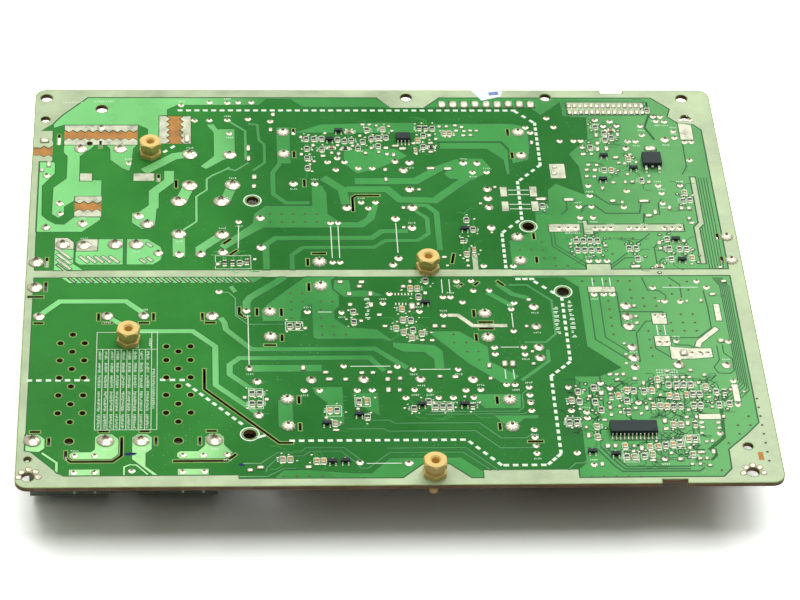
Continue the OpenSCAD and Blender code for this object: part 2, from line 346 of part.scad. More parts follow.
// Small joints, and their usual diameter
joint_d = 2.3;
small_joints = [
    [-68.7, 90.5], [-64, 81.8], [-58.7, 92], [-52.4, 91.8], [-48.6, 92], [-43.9, 92], [-58.8, 81.8],
    [-52.5, 82], [-45.2, 82.5], [-51.9, 74.5], [-86.8, 58.2], [-37.4, 81.3], [-18, 58.7], [-12.2, 58.6],
    [-14.6, 60.8], [-15.3, 54.5], [-7.5, 55.3], [-2.7, 55.3], [32, 53], [37, 53], [52.5, 77.8], [54, 75],
    [60.4, 83], [62.5, 78], [64, 70.2], [68.9, 70.3], [71.4, 70.3], [85, 78.8], [80.2, 78.5], [98.6, 84],
    [101.1, 83.9], [99.4, 81.4], [102.2, 81.2], [90.8, 70], [88, 70.1], [104.9, 75.6], [104.9, 72],
    [108.3, 82.4], [111.6, 82.2], [108.2, 69.6], [110.6, 69.7], [108.7, 59.6], [93.4, 78.6], [93.4, 73.6],
    [71.7, 45.6], [71.7, 40.3], [71.7, 34.4], [71.7, 28.7], [67.3, 34.5], [67.3, 28.7], [84.8, 42.9],
    [82.9, 34.1], [96.8, 41.6], [96.6, 36.2], [103.7, 45.8], [96, 45.7], [62.6, 22.9], [65.2, 22.9],
    [59.6, 22.9], [71.8, 22.9], [74.7, 22.9], [77.2, 22.9], [83.4, 22.9], [86.2, 22.9], [88.8, 22.9],
    [95.6, 22.9], [98.3, 22.9], [100.9, 22.9], [68.2, 6.2], [71.3, 6.2], [74.2, 6.2], [68.1, -10.7],
    [71.4, -10.7], [74.2, -10.7], [87.3, -21.7], [89.8, -21.7], [87.3, -34.8], [89.8, -34.8], [93, -33.9],
    [110.1, -34.2], [97.5, -39.9], [100.1, -39.9], [102.7, -39.9], [91.4, -14.3], [96.6, -14.5],
    [-18.2, 26], [-15.7, 26.1], [-18.2, 5.7], [-15.7, 5.7], [17.7, -11.9], [20.2, -11.9], [-7.3, 36.9],
    [-2.4, 36.9], [-5, 33.8], [-49.3, 26.8], [-56.3, -8.8], [42.7, -55.5], [42.7, -59.1], [42.7, -62.7],
    [42.7, -66.3], [42.7, -75], [42.7, -78.5], [42.7, -82.3], [42.7, -85.7], [55.4, -55.6], [55.4, -66.4],
    [55.4, -85.6], [60.2, -67.2], [60.2, -69.8], [60.3, -90.9], [35.6, -54.2], [38.3, -54.3], [28, -8.7],
    [33.3, -8.6], [24, -14.4], [41.1, -14.9], [39.9, -18], [39.9, -28.7], [33, -36.6], [33, -39.7],
    [42.6, -36.5], [42.7, -39.9], [17.3, -20.8], [-29.6, -56.4], [-24.6, -56.5], [-12.6, -56.5],
    [-7.8, -56.4], [5.8, -56.4], [10.6, -56.5], [22.3, -56.7], [27.1, -56.5], [5.8, -46.8], [20.4, -46.9],
    [-16.5, -45.1], [0.8, -45.4], [-101.9, -85.4], [-95.6, -85.4], [-68.2, -85.4], [-61.8, -85.4],
    [-54.4, -85.3], [-102, -92.8], [-95.5, -92.8], [-68.3, -92.7], [-61.6, -92.7], [-84, -92.2],
    [-27.4, -18.9], [-16.2, -19.3], [0, -10.1], [-2.4, -14.9], [9.5, -18.9], [22.7, -4], [27.6, -3.8],
    [32.4, 3.8], [42.3, 3.6], [66, -53.8], [68.8, -56.2], [77.3, -62.9], [82.9, -88.5], [109.3, -53],
    [109.3, -64], [101.9, -77.2], [77.6, 82.1], [82.8, 81.2], [2.8, -60.1], [13.3, -60.1], [18, -60.1],
    [24.6, -60.1], [103.2, -4.4], [88.1, -7.5], [106.2, -7.5],
];

// Chips by body colour: place of each centre, and 1 where the chip lies along X
black_chips = [
    [-25, 71.4, 0], [-22.4, 71.4, 0], [-19.6, 71.6, 0], [-25, 66, 0], [-25, 60.8, 0], [-25, 55.4, 0],
    [-19.7, 65.6, 0], [-14.1, 71, 0], [-11.7, 70.2, 0], [-9.3, 70.6, 0], [-7.1, 66.2, 0], [-5.3, 69.8, 0],
    [-3.6, 76.4, 0], [-2.2, 71.6, 0], [0.2, 72, 0], [-11.6, 66, 1], [0, 67.4, 0], [2.9, 72.2, 0],
    [14.9, 77.4, 0], [17.1, 77.4, 0], [19.5, 77.2, 0], [16.1, 73.4, 0], [15.7, 67, 0], [18.5, 66.6, 1],
    [77.3, 78, 0], [80.1, 74.6, 0], [80.1, 71, 0], [74.5, 66.6, 0], [78.1, 54.2, 0], [82.4, 72, 0],
    [90.6, 48.6, 0], [96.1, 12.4, 0], [96.1, 7, 0], [99.6, 12.2, 0], [101.9, 12.2, 0], [95.8, 17.4, 0],
    [103.9, 37.6, 0], [106.2, 38, 0], [82.4, 12.6, 0], [84.8, 12.6, 0], [84.8, 7.2, 0], [54.9, 34.8, 0],
    [28.2, 27.6, 0], [30.1, 22.6, 0], [26, 17, 0], [-54.2, 5.6, 0], [-51.6, 5.6, 0], [-49.2, 5.6, 0],
    [-46.8, 6.2, 0], [-12.3, -19, 0], [-12.3, -24, 0], [-33.3, -25.8, 0], [-30.7, -25.8, 0], [6.9, -28, 0],
    [6.4, -23.2, 0], [9.6, -11.6, 0], [12.4, -3.6, 0], [5.2, -65, 0], [10, -61.8, 0], [12.1, -64.2, 0],
    [14.4, -64.2, 0], [16.6, -64.2, 0], [23.9, -64, 0], [-46.2, -57.6, 0], [-43.8, -57.6, 0],
    [-46.2, -62.4, 0], [-43.8, -62.4, 0], [-19.4, -65.6, 0], [-12.2, -61.6, 0], [-9.8, -68.8, 0],
    [63.6, -55.8, 0], [76.3, -57.2, 0], [68.7, -60, 0], [95.3, -59, 0], [97.5, -59, 0], [103, -58, 0],
    [105.6, -58.2, 0], [63.4, -62.4, 0], [73.7, -62, 0], [88.4, -64.6, 0], [90.7, -64.6, 0],
    [95, -64.2, 0], [97.2, -64.2, 0], [103.2, -64, 0], [106.6, -63.6, 0], [73.7, -67, 0], [94.3, -73, 0],
    [93.5, -79.6, 0], [83.8, -82.4, 0], [88.4, -81.6, 0], [71, -87.4, 0], [76.5, -87.2, 0],
    [58.3, -57.6, 0], [58.4, -62.2, 0], [54.3, -71.8, 0], [56.6, -71.8, 0], [88, -54.6, 0],
    [90.5, -54.6, 0], [92.9, -54.6, 0], [95.2, -54.6, 0], [79.6, -57.6, 0], [65, -66, 0],
    [64.8, 16.6, 0], [67.2, 16.6, 0], [69.5, 16.6, 0], [72, 16.6, 0],
    [64.8, 11.8, 0], [67.2, 11.8, 0], [69.5, 11.8, 0], [72, 11.8, 0], [96.8, 87.6, 0],
];
tan_chips = [
    [82.6, 76, 1], [12.9, 65, 0], [23.4, 74.6, 0], [25.3, 74.6, 0], [2, 76.8, 0], [-16.4, 66.4, 1],
    [27.1, 9.8, 0], [29.7, 12, 0], [3.8, -23, 0], [3.8, -29, 0], [6.4, -31.6, 0], [9.4, -7.4, 0],
    [1.4, -27, 0], [-37.1, -87.6, 0], [-34.8, -87.6, 0], [-20.2, -71.6, 0], [84.6, -52, 0],
    [99.9, -55.6, 0], [81.9, -64.4, 0], [87.4, -73, 0], [89.8, -73, 0], [73.4, -87.4, 0],
    [62.8, -73.6, 0], [55.9, -61.6, 0], [62.6, -78.4, 0], [89.9, -60, 0], [92, -86.6, 0], [79.2, -86.4, 0],
    [87.2, 60.2, 0], [104.8, 42, 0], [91.6, 3.2, 1], [9.7, -29.6, 0], [84.2, -64.4, 0], [-9.9, 75.2, 1],
];
orange_chips = [
    [14, 70.6, 0], [80.6, 54.2, 0], [103.2, 7.6, 0], [3.8, -17.6, 0], [-9.8, -61.6, 0], [-21.6, -65.6, 0],
    [-26.6, -88.4, 0], [-24.4, -88.4, 0], [74.1, -57, 0], [82.3, -57.2, 0], [71.2, -59.6, 0],
    [87.7, -59.6, 0], [93.2, -59.2, 0], [86.3, -64.6, 0], [91.4, -79.6, 0], [70.9, -82.6, 0],
    [81.5, -83, 0], [86.2, -82, 0], [78.8, -83, 0], [7.1, -7.4, 0],
];

// Small three-leg transistors: place, and 1 where the pair of legs faces +Y
transistors = [
    [-13.6, 75.6, 0], [-16.9, 70.8, 0], [78.7, 61.8, 0], [88.4, 55, 0], [77.1, 48.8, 0],
    [98.7, 17, 0], [99.7, 6.4, 0], [27.3, 22.6, 0], [11.6, -14.8, 0], [7.8, -63.4, 0], [21.4, -63.4, 0],
    [-12.4, -67.8, 0], [-22.8, -71.8, 0], [-21.6, -88.9, 0], [-17.6, -88.7, 0], [67.6, -86.4, 0],
    [60.3, -85.2, 0],
];

// Mounds of solder on bare lands: place, then size along X and Y
mounds = [
    [-66.6, 72, 2.2, 6], [-114.2, 57.6, 1.8, 3.6], [-116.4, 54.4, 1.6, 2.2], [-116, 70.6, 3.4, 3],
    [-45.4, 66.4, 1.6, 3.8], [-45.4, 60.6, 1.6, 3.6], [-36.4, 85, 1.8, 2.6], [-43.6, 50.6, 2, 3],
    [-43.8, 45.6, 1.8, 2.6], [-37.4, 76.6, 1.6, 2.6], [-27, 72.4, 1.5, 1.8], [-27, 62.9, 1.5, 1.8],
    [-22.8, 67.8, 1.6, 2], [-22.7, 58.9, 1.6, 1.6], [-18.4, 74.6, 1.4, 1.6], [-19.5, 62, 2.2, 1.6],
    [-16.4, 63.8, 1.4, 1.6], [-14, 63.2, 1.6, 2.4], [-14.2, 67.8, 1.6, 1.6], [-9, 67.6, 1.6, 1.6],
    [-4.6, 63.4, 1.8, 1.8], [-2.5, 66.2, 1.6, 2], [0, 64, 1.6, 1.6], [-6.2, 73.2, 1.4, 1.6],
    [-5, 79.4, 1.8, 1.6], [-2.6, 79.4, 1.6, 1.4], [-0.2, 78.8, 1.4, 1.6], [2.6, 66.4, 2.2, 1.8],
    [2.8, 62.9, 1.8, 1.8], [5.1, 62.6, 1.6, 2.6], [6, 67.6, 3, 1.2], [8.4, 66, 3, 1.8],
    [12.4, 69, 1.8, 1.6],
    [5.2, 75.8, 1.6, 1.4], [4.2, 78.4, 1.4, 1.4], [18.4, 69, 2.2, 1.4], [18.2, 64.2, 2.2, 1.4],
    [20.4, 71.4, 1.6, 1.6], [18.2, 73.4, 1.6, 1.8], [22, 78.2, 1.6, 1.6], [24.5, 78.2, 1.6, 1.6],
    [27.6, 78.8, 2, 1.6], [29.9, 77.9, 1.8, 1.8], [27.8, 76, 1.8, 1.4], [30.6, 75.8, 1.6, 1.4],
    [32.8, 76, 1.8, 1.4], [35, 76, 1.6, 1.4], [30.2, 73.4, 1.8, 1.4], [32.7, 73.4, 1.8, 1.4],
    [17.6, 55.2, 3.4, 1.8], [23.5, 55, 3.4, 1.8], [1.8, 54.4, 1.8, 2.2], [1.8, 49.2, 1.4, 2.6],
    [54, 69.4, 1.4, 2.6], [60.9, 56, 2, 2], [60.4, 52.4, 2, 2], [77.2, 73.6, 1.6, 3], [77.2, 69, 1.8, 2.2],
    [76.9, 65.6, 1.8, 3], [80.1, 66, 1.8, 3], [84.8, 74, 1.4, 2.4], [71.6, 66.4, 2.4, 1.8],
    [71.6, 62.9, 2.4, 1.8], [74.5, 63, 1.6, 1.6], [72.8, 57, 2, 1.8], [75.7, 56.8, 1.8, 1.8],
    [72, 54.2, 2, 1.8], [74.8, 54.2, 2, 1.8], [82.8, 60.9, 2.6, 1.8], [83.6, 58, 1.8, 1.4],
    [85.6, 57.6, 1.6, 1.6], [88, 62.6, 1.6, 1.6], [89.8, 58.4, 1.4, 1.6], [86, 51.8, 1.6, 1.8],
    [71.7, 50.6, 2, 1.6], [74.3, 50.6, 1.8, 1.6], [80.6, 47.4, 1.8, 1.6], [84.8, 47.6, 1.4, 2],
    [87.2, 47.6, 1.8, 1.8], [93, 47.6, 1.8, 1.8], [93.4, 50.8, 1.4, 1.6], [76.5, 44.4, 1.4, 2.4],
    [64.2, 38.2, 4.4, 1.9], [79.4, 37.4, 2.6, 1.8], [82.6, 36.8, 1.4, 1.8], [90.2, 37.3, 4.4, 1.9],
    [98.6, 33.8, 1.7, 2.8], [102.8, 33.6, 1.8, 2.4], [105.3, 33.4, 2, 2.2], [104.7, 28, 1.8, 2],
    [105.4, 25.8, 2.4, 1.4], [91, 29.6, 3, 1.8], [93.4, 31.6, 1.6, 3.2], [54.6, 38.6, 4.6, 1.9],
    [36.4, 21, 1.2, 1.2], [39.2, 44.8, 1.6, 1.6], [33.6, 36.2, 1.4, 1.4], [12.9, 43.7, 1.6, 1.6],
    [7, 33.9, 1.8, 2], [6.6, 23.7, 1.6, 1.6], [62.6, 15, 1.4, 1.6], [74.4, 13.8, 1.8, 1.6],
    [93, 15.4, 1.7, 2.4], [93, 12.4, 1.7, 1.8], [101.4, 16.2, 1.8, 1.8], [102.8, 4.4, 1.4, 1],
    [83.6, 3.3, 4, 1.8], [112.2, 2.8, 1.8, 1.4], [19.4, 8.2, 2.2, 1.4], [20.2, 4, 1.2, 1.2],
    [27.2, 6.6, 1.4, 1.6], [27.2, 3.8, 1.5, 1.5], [-56.6, 5, 1.7, 1.9], [-44.2, 7.4, 1.5, 1.5],
    [-16.1, -4.2, 2.3, 1.9], [-9, -4.2, 2.4, 1.8], [-9.8, -6.6, 2.2, 1.8], [-13.3, -10.1, 1.9, 2.2],
    [-6.3, -10.1, 1.7, 2.8], [-13.2, -15.4, 1.9, 1.9], [-6.3, -15.5, 1.7, 2.8], [-9.9, -23.4, 1.6, 1.6],
    [-3.8, -20.5, 2.1, 1.6], [-28.4, -26.9, 1.7, 1.7], [-2.2, -26, 2, 1.4], [-29.6, -45.9, 1.9, 2.9],
    [-22.4, -48.2, 2.4, 1.8], [-10.8, -48.3, 2, 1.7], [-7.2, -48.3, 2, 1.7], [-1.8, -48.3, 2.2, 1.8],
    [4.8, -6.6, 2, 1.8], [7.2, -4, 1.5, 2], [11.9, -9.8, 1.6, 2], [7.4, -17.1, 2, 2.4],
    [9.3, -15.2, 1.4, 1.6],
    [14.2, -26.2, 2.2, 2.2], [17, -26.4, 2, 1.7], [9.6, -33, 2.1, 1.4], [12.9, -33, 2, 1.4],
    [44.3, -26.4, 1.6, 1.8], [46.1, -13.3, 1.8, 1.7], [45.2, -38.6, 1.4, 1.4], [45.1, -44.5, 1.7, 1.7],
    [35.7, -44.4, 2.2, 3.4], [38.3, -44.4, 2.2, 3.4], [30.6, -45.2, 1.7, 2.8], [1.4, -51.2, 2, 2],
    [14.3, -50.4, 2.2, 1.8], [19.3, -50.4, 2.4, 1.9], [30.6, -51.3, 1.7, 1.9], [1, -56.4, 1.5, 2],
    [21.7, -59.8, 1.4, 1.4], [-2.6, -56.4, 1.9, 2.8], [-2.6, -51.5, 2, 2.4], [-16.1, -51.4, 2.1, 1.9],
    [-21.4, -51.4, 2.9, 1.9], [-48.6, -59.6, 1.7, 1.7], [-41.6, -60.4, 1.7, 1.7], [-22.9, -69, 1.5, 1.3],
    [-20, -74.7, 2.6, 1.2], [-12.7, -65, 1.4, 1.2], [-44.2, -91.2, 2.7, 1.8], [-47.4, -92.3, 2.2, 1.8],
    [-29.2, -91, 2.4, 1.6], [80.9, -16.6, 1.7, 1.7], [80.9, -21.8, 1.7, 1.7], [80.8, -25, 1.7, 1.7],
    [75.6, -35, 1.5, 1.5], [75.6, -40.3, 1.5, 1.5], [75.4, -44.4, 1.4, 1.4], [107.8, -11, 2.6, 1.6],
    [89.4, -14.2, 1.3, 1.3], [98.8, -14.2, 1.3, 1.3], [103.5, -14.1, 1.5, 1.8], [112.4, -4.5, 2.4, 1.6],
    [107.7, -33.8, 2.4, 2.2], [92.8, -42.8, 1.4, 1], [94.8, -39.6, 3, 3.4], [69.4, -49.6, 1.9, 1.5],
    [71.6, -49.6, 1.7, 1.5], [73.8, -49.6, 1.6, 1.9], [88.2, -48.3, 2, 1.6], [95.9, -48, 1.9, 1.6],
    [100.1, -50.3, 1.8, 1.7], [71.6, -52.2, 2, 1.5], [77.3, -51.8, 2, 1.8], [79.9, -53.8, 1.4, 2.4],
    [88, -51.2, 1.8, 1.5], [90.6, -51.2, 1.8, 1.5], [93, -51.2, 1.6, 1.5], [95.2, -51.2, 1.6, 1.5],
    [97.8, -53.8, 1.6, 1.5], [84.4, -55.4, 1.2, 2.4], [107.8, -57.2, 1.6, 1.5], [112.1, -58.1, 1.4, 1.3],
    [65.8, -58.4, 2.1, 2.6], [61.8, -59.8, 1.6, 1.6], [84.8, -59.4, 1.6, 1.5], [100.4, -60.5, 1.7, 1.2],
    [79.7, -65.4, 1.5, 2.6], [76.1, -65.6, 1.8, 1.7], [68, -65.2, 1.7, 2.4], [100.8, -65.2, 1.5, 1.3],
    [93, -66.4, 1.6, 1.5], [68, -68.4, 1.5, 1.8], [92, -69.7, 1.8, 1.6], [95.2, -69.6, 1.4, 2.2],
    [103.9, -69.6, 1.6, 2], [84.8, -71.4, 1.9, 2.6], [84.8, -75, 2.1, 1.7], [92, -72.4, 1.6, 2.6],
    [96.5, -72.3, 2, 1.5], [96.5, -74.5, 2, 1.5], [101.9, -72.3, 1.9, 1.5], [101.9, -74.8, 1.8, 1.4],
    [65.6, -70.8, 2, 1.4], [97, -81, 1.5, 1.5], [98.9, -80.6, 1.5, 1.6], [73.8, -82.8, 1.7, 1.7],
    [76.1, -83.6, 1.7, 2.8], [65.4, -82.6, 1.9, 2.3], [67.8, -82.6, 1.8, 2.3], [73.3, -85, 1.6, 1.2],
    [85.2, -86, 1.8, 1.6], [87.8, -88.8, 2.4, 1.9], [79, -89.1, 2.6, 1.3], [94.8, -85.8, 3.2, 1.5],
    [98.7, -85.4, 1.5, 2.6], [94, -88.6, 1.8, 1.7], [96.2, -88.4, 1.6, 1.7], [91.3, -90.9, 1.6, 1.6],
    [93.8, -90.9, 1.6, 1.6], [96.8, -91.6, 1.8, 1.4], [62.8, -90.6, 1.4, 2.2], [59.4, -74.2, 1.6, 1.6],
    [59.8, -77.8, 1.5, 2.8], [58.2, -65.8, 1.4, 1.4], [71, -64.6, 1.4, 1.6], [71, -67.4, 1.4, 1.6],
    [77.6, -68, 1.4, 1.6], [91.4, -83.6, 1.7, 1.6], [81.2, -61.4, 1.5, 1.5], [96, -77, 1.4, 1.2],
];

// A unit vector, and the same turned a quarter to the left
function unit(v) = v / norm(v);
function left_of(v) = [-v[1], v[0]];

// Offset from point i of a path to the left edge of a ribbon of width w, mitred at bends
function mitre(p, i, w) = let (
    a = unit(i == 0 ? p[1] - p[0] : p[i] - p[i - 1]),
    b = i == len(p) - 1 ? a : unit(p[i + 1] - p[i])
) left_of(a + b) * w / 2 / (1 + a * b);

// Outline of a ribbon of width w along the path p
function ribbon(p, w) = concat(
    [for (i = [0:len(p) - 1]) p[i] + mitre(p, i, w)],
    [for (i = [len(p) - 1:-1:0]) p[i] - mitre(p, i, w)]
);

module film() {
    translate([0, 0, film_z]) linear_extrude(film_t) children();
}

module disc_at(p, d) {
    translate([p[0], p[1]]) circle(d = d, $fn = 24);
}

module outline() {
    core_w = board_w - 2 * corner_r;
    core_d = board_d - 2 * corner_r;
    difference() {
        union() {
            square([board_w, core_d], center = true);
            square([core_w, board_d], center = true);
            for (x = [-core_w / 2, core_w / 2], y = [-core_d / 2, core_d / 2])
                disc_at([x, y], 2 * corner_r);
        }
        for (y = [-half_d, half_d]) translate([notch_x, y]) square([notch_w, 2 * notch_d], center = true);
    }
}

// Everything that goes right through the board
module board_openings() {
    for (p = corner_holes) disc_at(p, corner_hole_d);
    for (p = edge_holes) disc_at(p, corner_hole_d);
    for (p = concat(ringed_holes, [bare_ring_hole])) disc_at(p, peg_hole_d);
    for (p = concat(plain_holes, land_holes)) disc_at(p, p[2]);
    for (p = spacer_at) disc_at(p, stud_d);
    for (c = vent_columns, i = [0:c[2] - 1]) disc_at([c[0], c[1] - i * vent_pitch], vent_d);
    for (s = slots) polygon(ribbon(s, slot_w));
}

module laminate() {
    color("#9a7440") translate([0, 0, stand_h]) linear_extrude(laminate_t) difference() {
        outline();
        board_openings();
    }
}

// One comb of a spark gap: a strip with pointed teeth along its lower edge, above y = 0
module comb(length) {
    n = max(2, round(length / tooth_pitch));
    step = length / n;
    translate([-length / 2, 0]) polygon(concat(
        [[length, tooth_h + comb_w], [0, tooth_h + comb_w]],
        [for (i = [0:2 * n]) [i * step / 2, i % 2 == 0 ? tooth_h : 0]]
    ));
}

module spark_combs() {
    for (g = spark_gaps) translate([g[0], g[1]]) rotate(g[2])
        for (turn = [0, 180]) rotate(turn) translate([0, g[4] / 2]) comb(g[3]);
}

module spark_windows() {
    for (g = spark_gaps) translate([g[0], g[1]]) rotate(g[2])
        square([g[3], g[4] + 2 * tooth_h], center = true);
}

// The hatched copper: slanting tinned bars beside the bus and on the mains lands
module hatch_bar(p, length) {
    translate(p) rotate(-48) square([length, 0.95], center = true);
}

module hatching() {
    for (i = [0:20]) hatch_bar([-104.6 + i * 2.88, -2.8], 3.2);
    for (i = [0:3]) hatch_bar([-107.6, 10.4 - i * 2.6], 7);
    for (i = [0:4]) hatch_bar([-101 + i * 2.5, 7.6], 4.4);
    for (p = [[-79.4, 15], [-81.4, 6.8], [-79.2, 7.6]]) hatch_bar(p, 2.6);
}

module mains_lands() {
    polygon([[-110.8, 2], [-110.8, 18.6], [-106.4, 18.6], [-104.5, 16.4], [-104.5, 5.4], [-101, 2]]);
    polygon([[-103.8, 6.4], [-103.8, 16], [-102, 18], [-88.1, 18], [-88.1, 5], [-102.4, 5]]);
    polygon([[-86.8, 5], [-86.8, 18], [-80, 18], [-75.6, 14], [-74.8, 10.6], [-75.6, 7.2], [-78, 5]]);
    polygon([[-108.4, -1.4], [-105.5, -4.3], [-44.6, -4.3], [-41.6, -1.4]]);
}

module tin_area() {
    difference() {
        outline();
        polygon(mask_edge);
        polygon([[-117, 66.8], [-121, 66.8], [-121, 62.4], [-117, 62.4]]);
    }
    translate([-half_w, bus_bottom]) square([board_w, bus_top - bus_bottom]);
    for (p = tin_shapes) polygon(p);
    for (t = tin_tracks) polygon(ribbon(t[1], t[0]));
    hatching();
    spark_combs();
}

module copper_area() {
    difference() {
        union() {
            for (p = planes) polygon(p);
            for (t = tracks) polygon(ribbon(t[1], t[0]));
            mains_lands();
        }
        for (g = gaps) polygon(ribbon(g[1], g[0]));
    }
}

module tinned_copper() {
    color("#c9d2b4") film() difference() {
        intersection() {
            tin_area();
            outline();
        }
        board_openings();
    }
}

module masked_copper() {
    color("#62b56c") film() difference() {
        intersection() {
            copper_area();
            polygon(mask_edge);
        }
        tin_area();
        spark_windows();
        board_openings();
    }
}

module solder_mask() {
    color("#2f7d3a") film() difference() {
        intersection() {
            polygon(mask_edge);
            outline();
        }
        copper_area();
        tin_area();
        spark_windows();
        board_openings();
    }
}

// A joint: a cone of solder round a clipped lead
module cone_joint(d) {
    cylinder(h = 0.42 * d, d1 = d, d2 = 0.4 * d, $fn = 16);
}

module on_top(p, z = 0) {
    translate([p[0], p[1], top_z + z]) children();
}

module solder_joints() {
    color("#e6e3d6") {
        for (p = small_joints) on_top(p) cone_joint(joint_d);
        for (p = large_joints) on_top(p) cone_joint(p[2]);
    }
}

// A lobed joint: ten lobes round a stout pin
module lobed_joint(d) {
    cylinder(h = 0.3, d = 0.72 * d, $fn = 24);
    for (i = [0:9]) rotate(36 * i) translate([0.36 * d, 0, 0]) cylinder(h = 0.3, d = 0.26 * d, $fn = 16);
    translate([0, 0, 0.3]) cylinder(h = 1, d1 = 0.72 * d, d2 = 0.32 * d, $fn = 24);
}

module lobed_joints() {
    color("#ddd9cb") for (p = star_joints) on_top(p) lobed_joint(p[2]);
}

module lead_tips() {
    color("#77705f") {
        for (p = small_joints) on_top(p, 0.42 * joint_d) cylinder(h = 0.8, d = 0.7, $fn = 14);
        for (p = large_joints) on_top(p, 0.42 * p[2]) cylinder(h = 0.7, d = 1, $fn = 14);
        for (p = star_joints) on_top(p, 1.3) cylinder(h = 0.9, d = 1.3, $fn = 14);
    }
}

// The mounds on single lands, and those on the rows of the headers and of the bare footprint
all_mounds = concat(
    mounds,
    [[95.6, 66, 4.7, 3]],
    [for (i = [0:8]) [23.7 + 3.96 * i, 90.8, 3.2, 4.4]],
    [for (y = [90.3, 86.6], i = [0:13]) [69 + 2 * i, y, 1.6, 3]],
    [for (y = [-10.3, -15.2], i = [0:5]) [1.9 + 1.1 * i, y, 0.6, 1.6]]
);

module solder_mounds() {
    color("#f2efe2") for (p = all_mounds) on_top(p) translate([-p[2] / 2, -p[3] / 2, 0])
        cube([p[2], p[3], land_t]);
}

// A chip's body between its two end caps, long side along Y unless turned
cap_l = 0.42;

module chip_bodies(list) {
    body_l = chip_l - 2 * cap_l;
    for (c = list) on_top(c) rotate(90 * c[2]) translate([-chip_w / 2, -body_l / 2, 0])
        cube([chip_w, body_l, chip_h]);
}

module chip_ends() {
    color("#eceadf") for (c = concat(black_chips, tan_chips, orange_chips)) on_top(c) rotate(90 * c[2])
        for (turn = [0, 180]) rotate(turn) translate([-chip_w / 2, chip_l / 2 - cap_l, 0])
            cube([chip_w, cap_l, chip_h]);
}

module chip_resistors() { color("#2b2d2c") chip_bodies(black_chips); }
module ceramic_chips() { color("#9b7b58") chip_bodies(tan_chips); }
module coated_chips() { color("#c97f3c") chip_bodies(orange_chips); }

// Three-leg transistors in a 2.9 mm body, with legs bent down to the board
module transistor_bodies() {
    color("#22292b") for (c = transistors) on_top(c, 0.1) translate([-1.45, -0.65, 0]) cube([2.9, 1.3, 1]);
}

module transistor_legs() {
    for (c = transistors) on_top(c) {
        for (x = [-0.95, 0.95]) translate([x - 0.2, -1.3, 0]) cube([0.4, 0.65, 0.5]);
        translate([-0.2, 0.65, 0]) cube([0.4, 0.65, 0.5]);
    }
}

// A gull-wing leg, drawn along +Y from the body's side down to its foot
module gull_leg(w, reach, drop) {
    t = 0.16;
    foot = 0.7;
    rotate([90, 0, 90]) translate([0, 0, -w / 2]) linear_extrude(w) polygon([
        [0, drop], [0, drop + t], [reach - foot, drop + t], [reach - foot + t, t], [reach, t],
        [reach, 0], [reach - foot, 0], [reach - foot - t, drop],
    ]);
}

// A moulded package with slanting sides: width along X, depth along Y, height
module moulded_body(w, d, h) {
    rotate([90, 0, 90]) translate([0, 0, -w / 2]) linear_extrude(w) polygon([
        [-d / 2 + 0.25, 0], [-d / 2, h / 2 - 0.1], [-d / 2, h / 2 + 0.1], [-d / 2 + 0.25, h],
        [d / 2 - 0.25, h], [d / 2, h / 2 + 0.1], [d / 2, h / 2 - 0.1], [d / 2 - 0.25, 0],
    ]);
}

// The 24-lead and 8-lead packages: place, leads a side, pitch, width, depth and height
sop24 = [74.3, -75.3, 12, 1.27, 15, 5.4, 1.9];
sop8 = [8.9, 71.6, 4, 1.27, 4.9, 3.9, 1.5];
standoff = 0.12;

module package_body(p) {
    on_top(p, standoff) difference() {
        moulded_body(p[4], p[5], p[6]);
        translate([p[4] / 2 - 1, -p[5] / 2 + 1.1, p[6] - 0.1]) cylinder(h = 0.2, d = 0.8, $fn = 20);
    }
}

module package_legs(p) {
    for (side = [0, 180], i = [0:p[2] - 1]) on_top(p) rotate(side)
        translate([(i - (p[2] - 1) / 2) * p[3], p[5] / 2, 0])
            gull_leg(0.42, 1.15, standoff + p[6] / 2 - 0.08);
}

module controller_body() { color("#1f2a2c") package_body(sop24); }
module driver_body() { color("#223036") package_body(sop8); }

module package_leads() {
    color("#d9d7ca") {
        transistor_legs();
        package_legs(sop24);
        package_legs(sop8);
    }
}

// The surface-mounted power transistor: a body, its wide tab and two legs
power_at = [95.1, 58.6];

module power_body() {
    color("#27353a") on_top(power_at, 0.5) translate([-3.3, -3.1, 0]) cube([6.6, 6.1, 1.8]);
}

module power_tab() {
    color("#d5d2c4") on_top(power_at) {
        translate([-2.65, -2.6, 0]) cube([5.3, 6.6, 0.5]);
        for (x = [-2.28, 2.28]) translate([x, -3.1, 0]) rotate(180) gull_leg(0.8, 2.9, 0.9);
        translate([-0.4, -4, 0.9]) cube([0.8, 0.9, 0.16]);
    }
}

// Print: the dashed isolation line, rings and a ruled table
dash_paths = [
    [[-69, 87.5], [49, 87.5]], [[49.9, 86.6], [54.9, 81.4]], [[56, 79.8], [56, 57.6]],
    [[55.4, 56.4], [48.6, 49.2]], [[47.3, 47.4], [47.2, 28.4]], [[45.6, 26.6], [40.6, 21.5]],
    [[39.8, 19.6], [39.8, 3.4]], [[43.4, -2.9], [48, -2.9]], [[49.2, -4.6], [54.4, -9.6]],
    [[57.2, -13], [57.2, -42]], [[56.6, -44], [50.6, -50]], [[50.3, -51.6], [50.3, -85]],
    [[49.6, -86.6], [46.4, -90]], [[44.4, -90.8], [32.6, -90.8]], [[30.7, -90.2], [22.2, -80.6]],
    [[19.8, -79.3], [-34, -79.3]], [[-44, -77.4], [-43, -77]], [[-50, -71.2], [-66.4, -53.6]],
    [[-68.4, -51.2], [-74.6, -51.1]], [[-98.8, -51.1], [-117, -51.1]], [[-71.6, 67], [-74.2, 64.6]],
];
ring_d = 6.3;
ring_w = 0.45;
table = [-96, -74, -76.3, -28.4];
table_head_y = -36.7;
table_rules = [-94, -92.1, -90.1, -88.1, -86.2, -84.3, -82.3, -80.3, -78.3];
rule_w = 0.18;
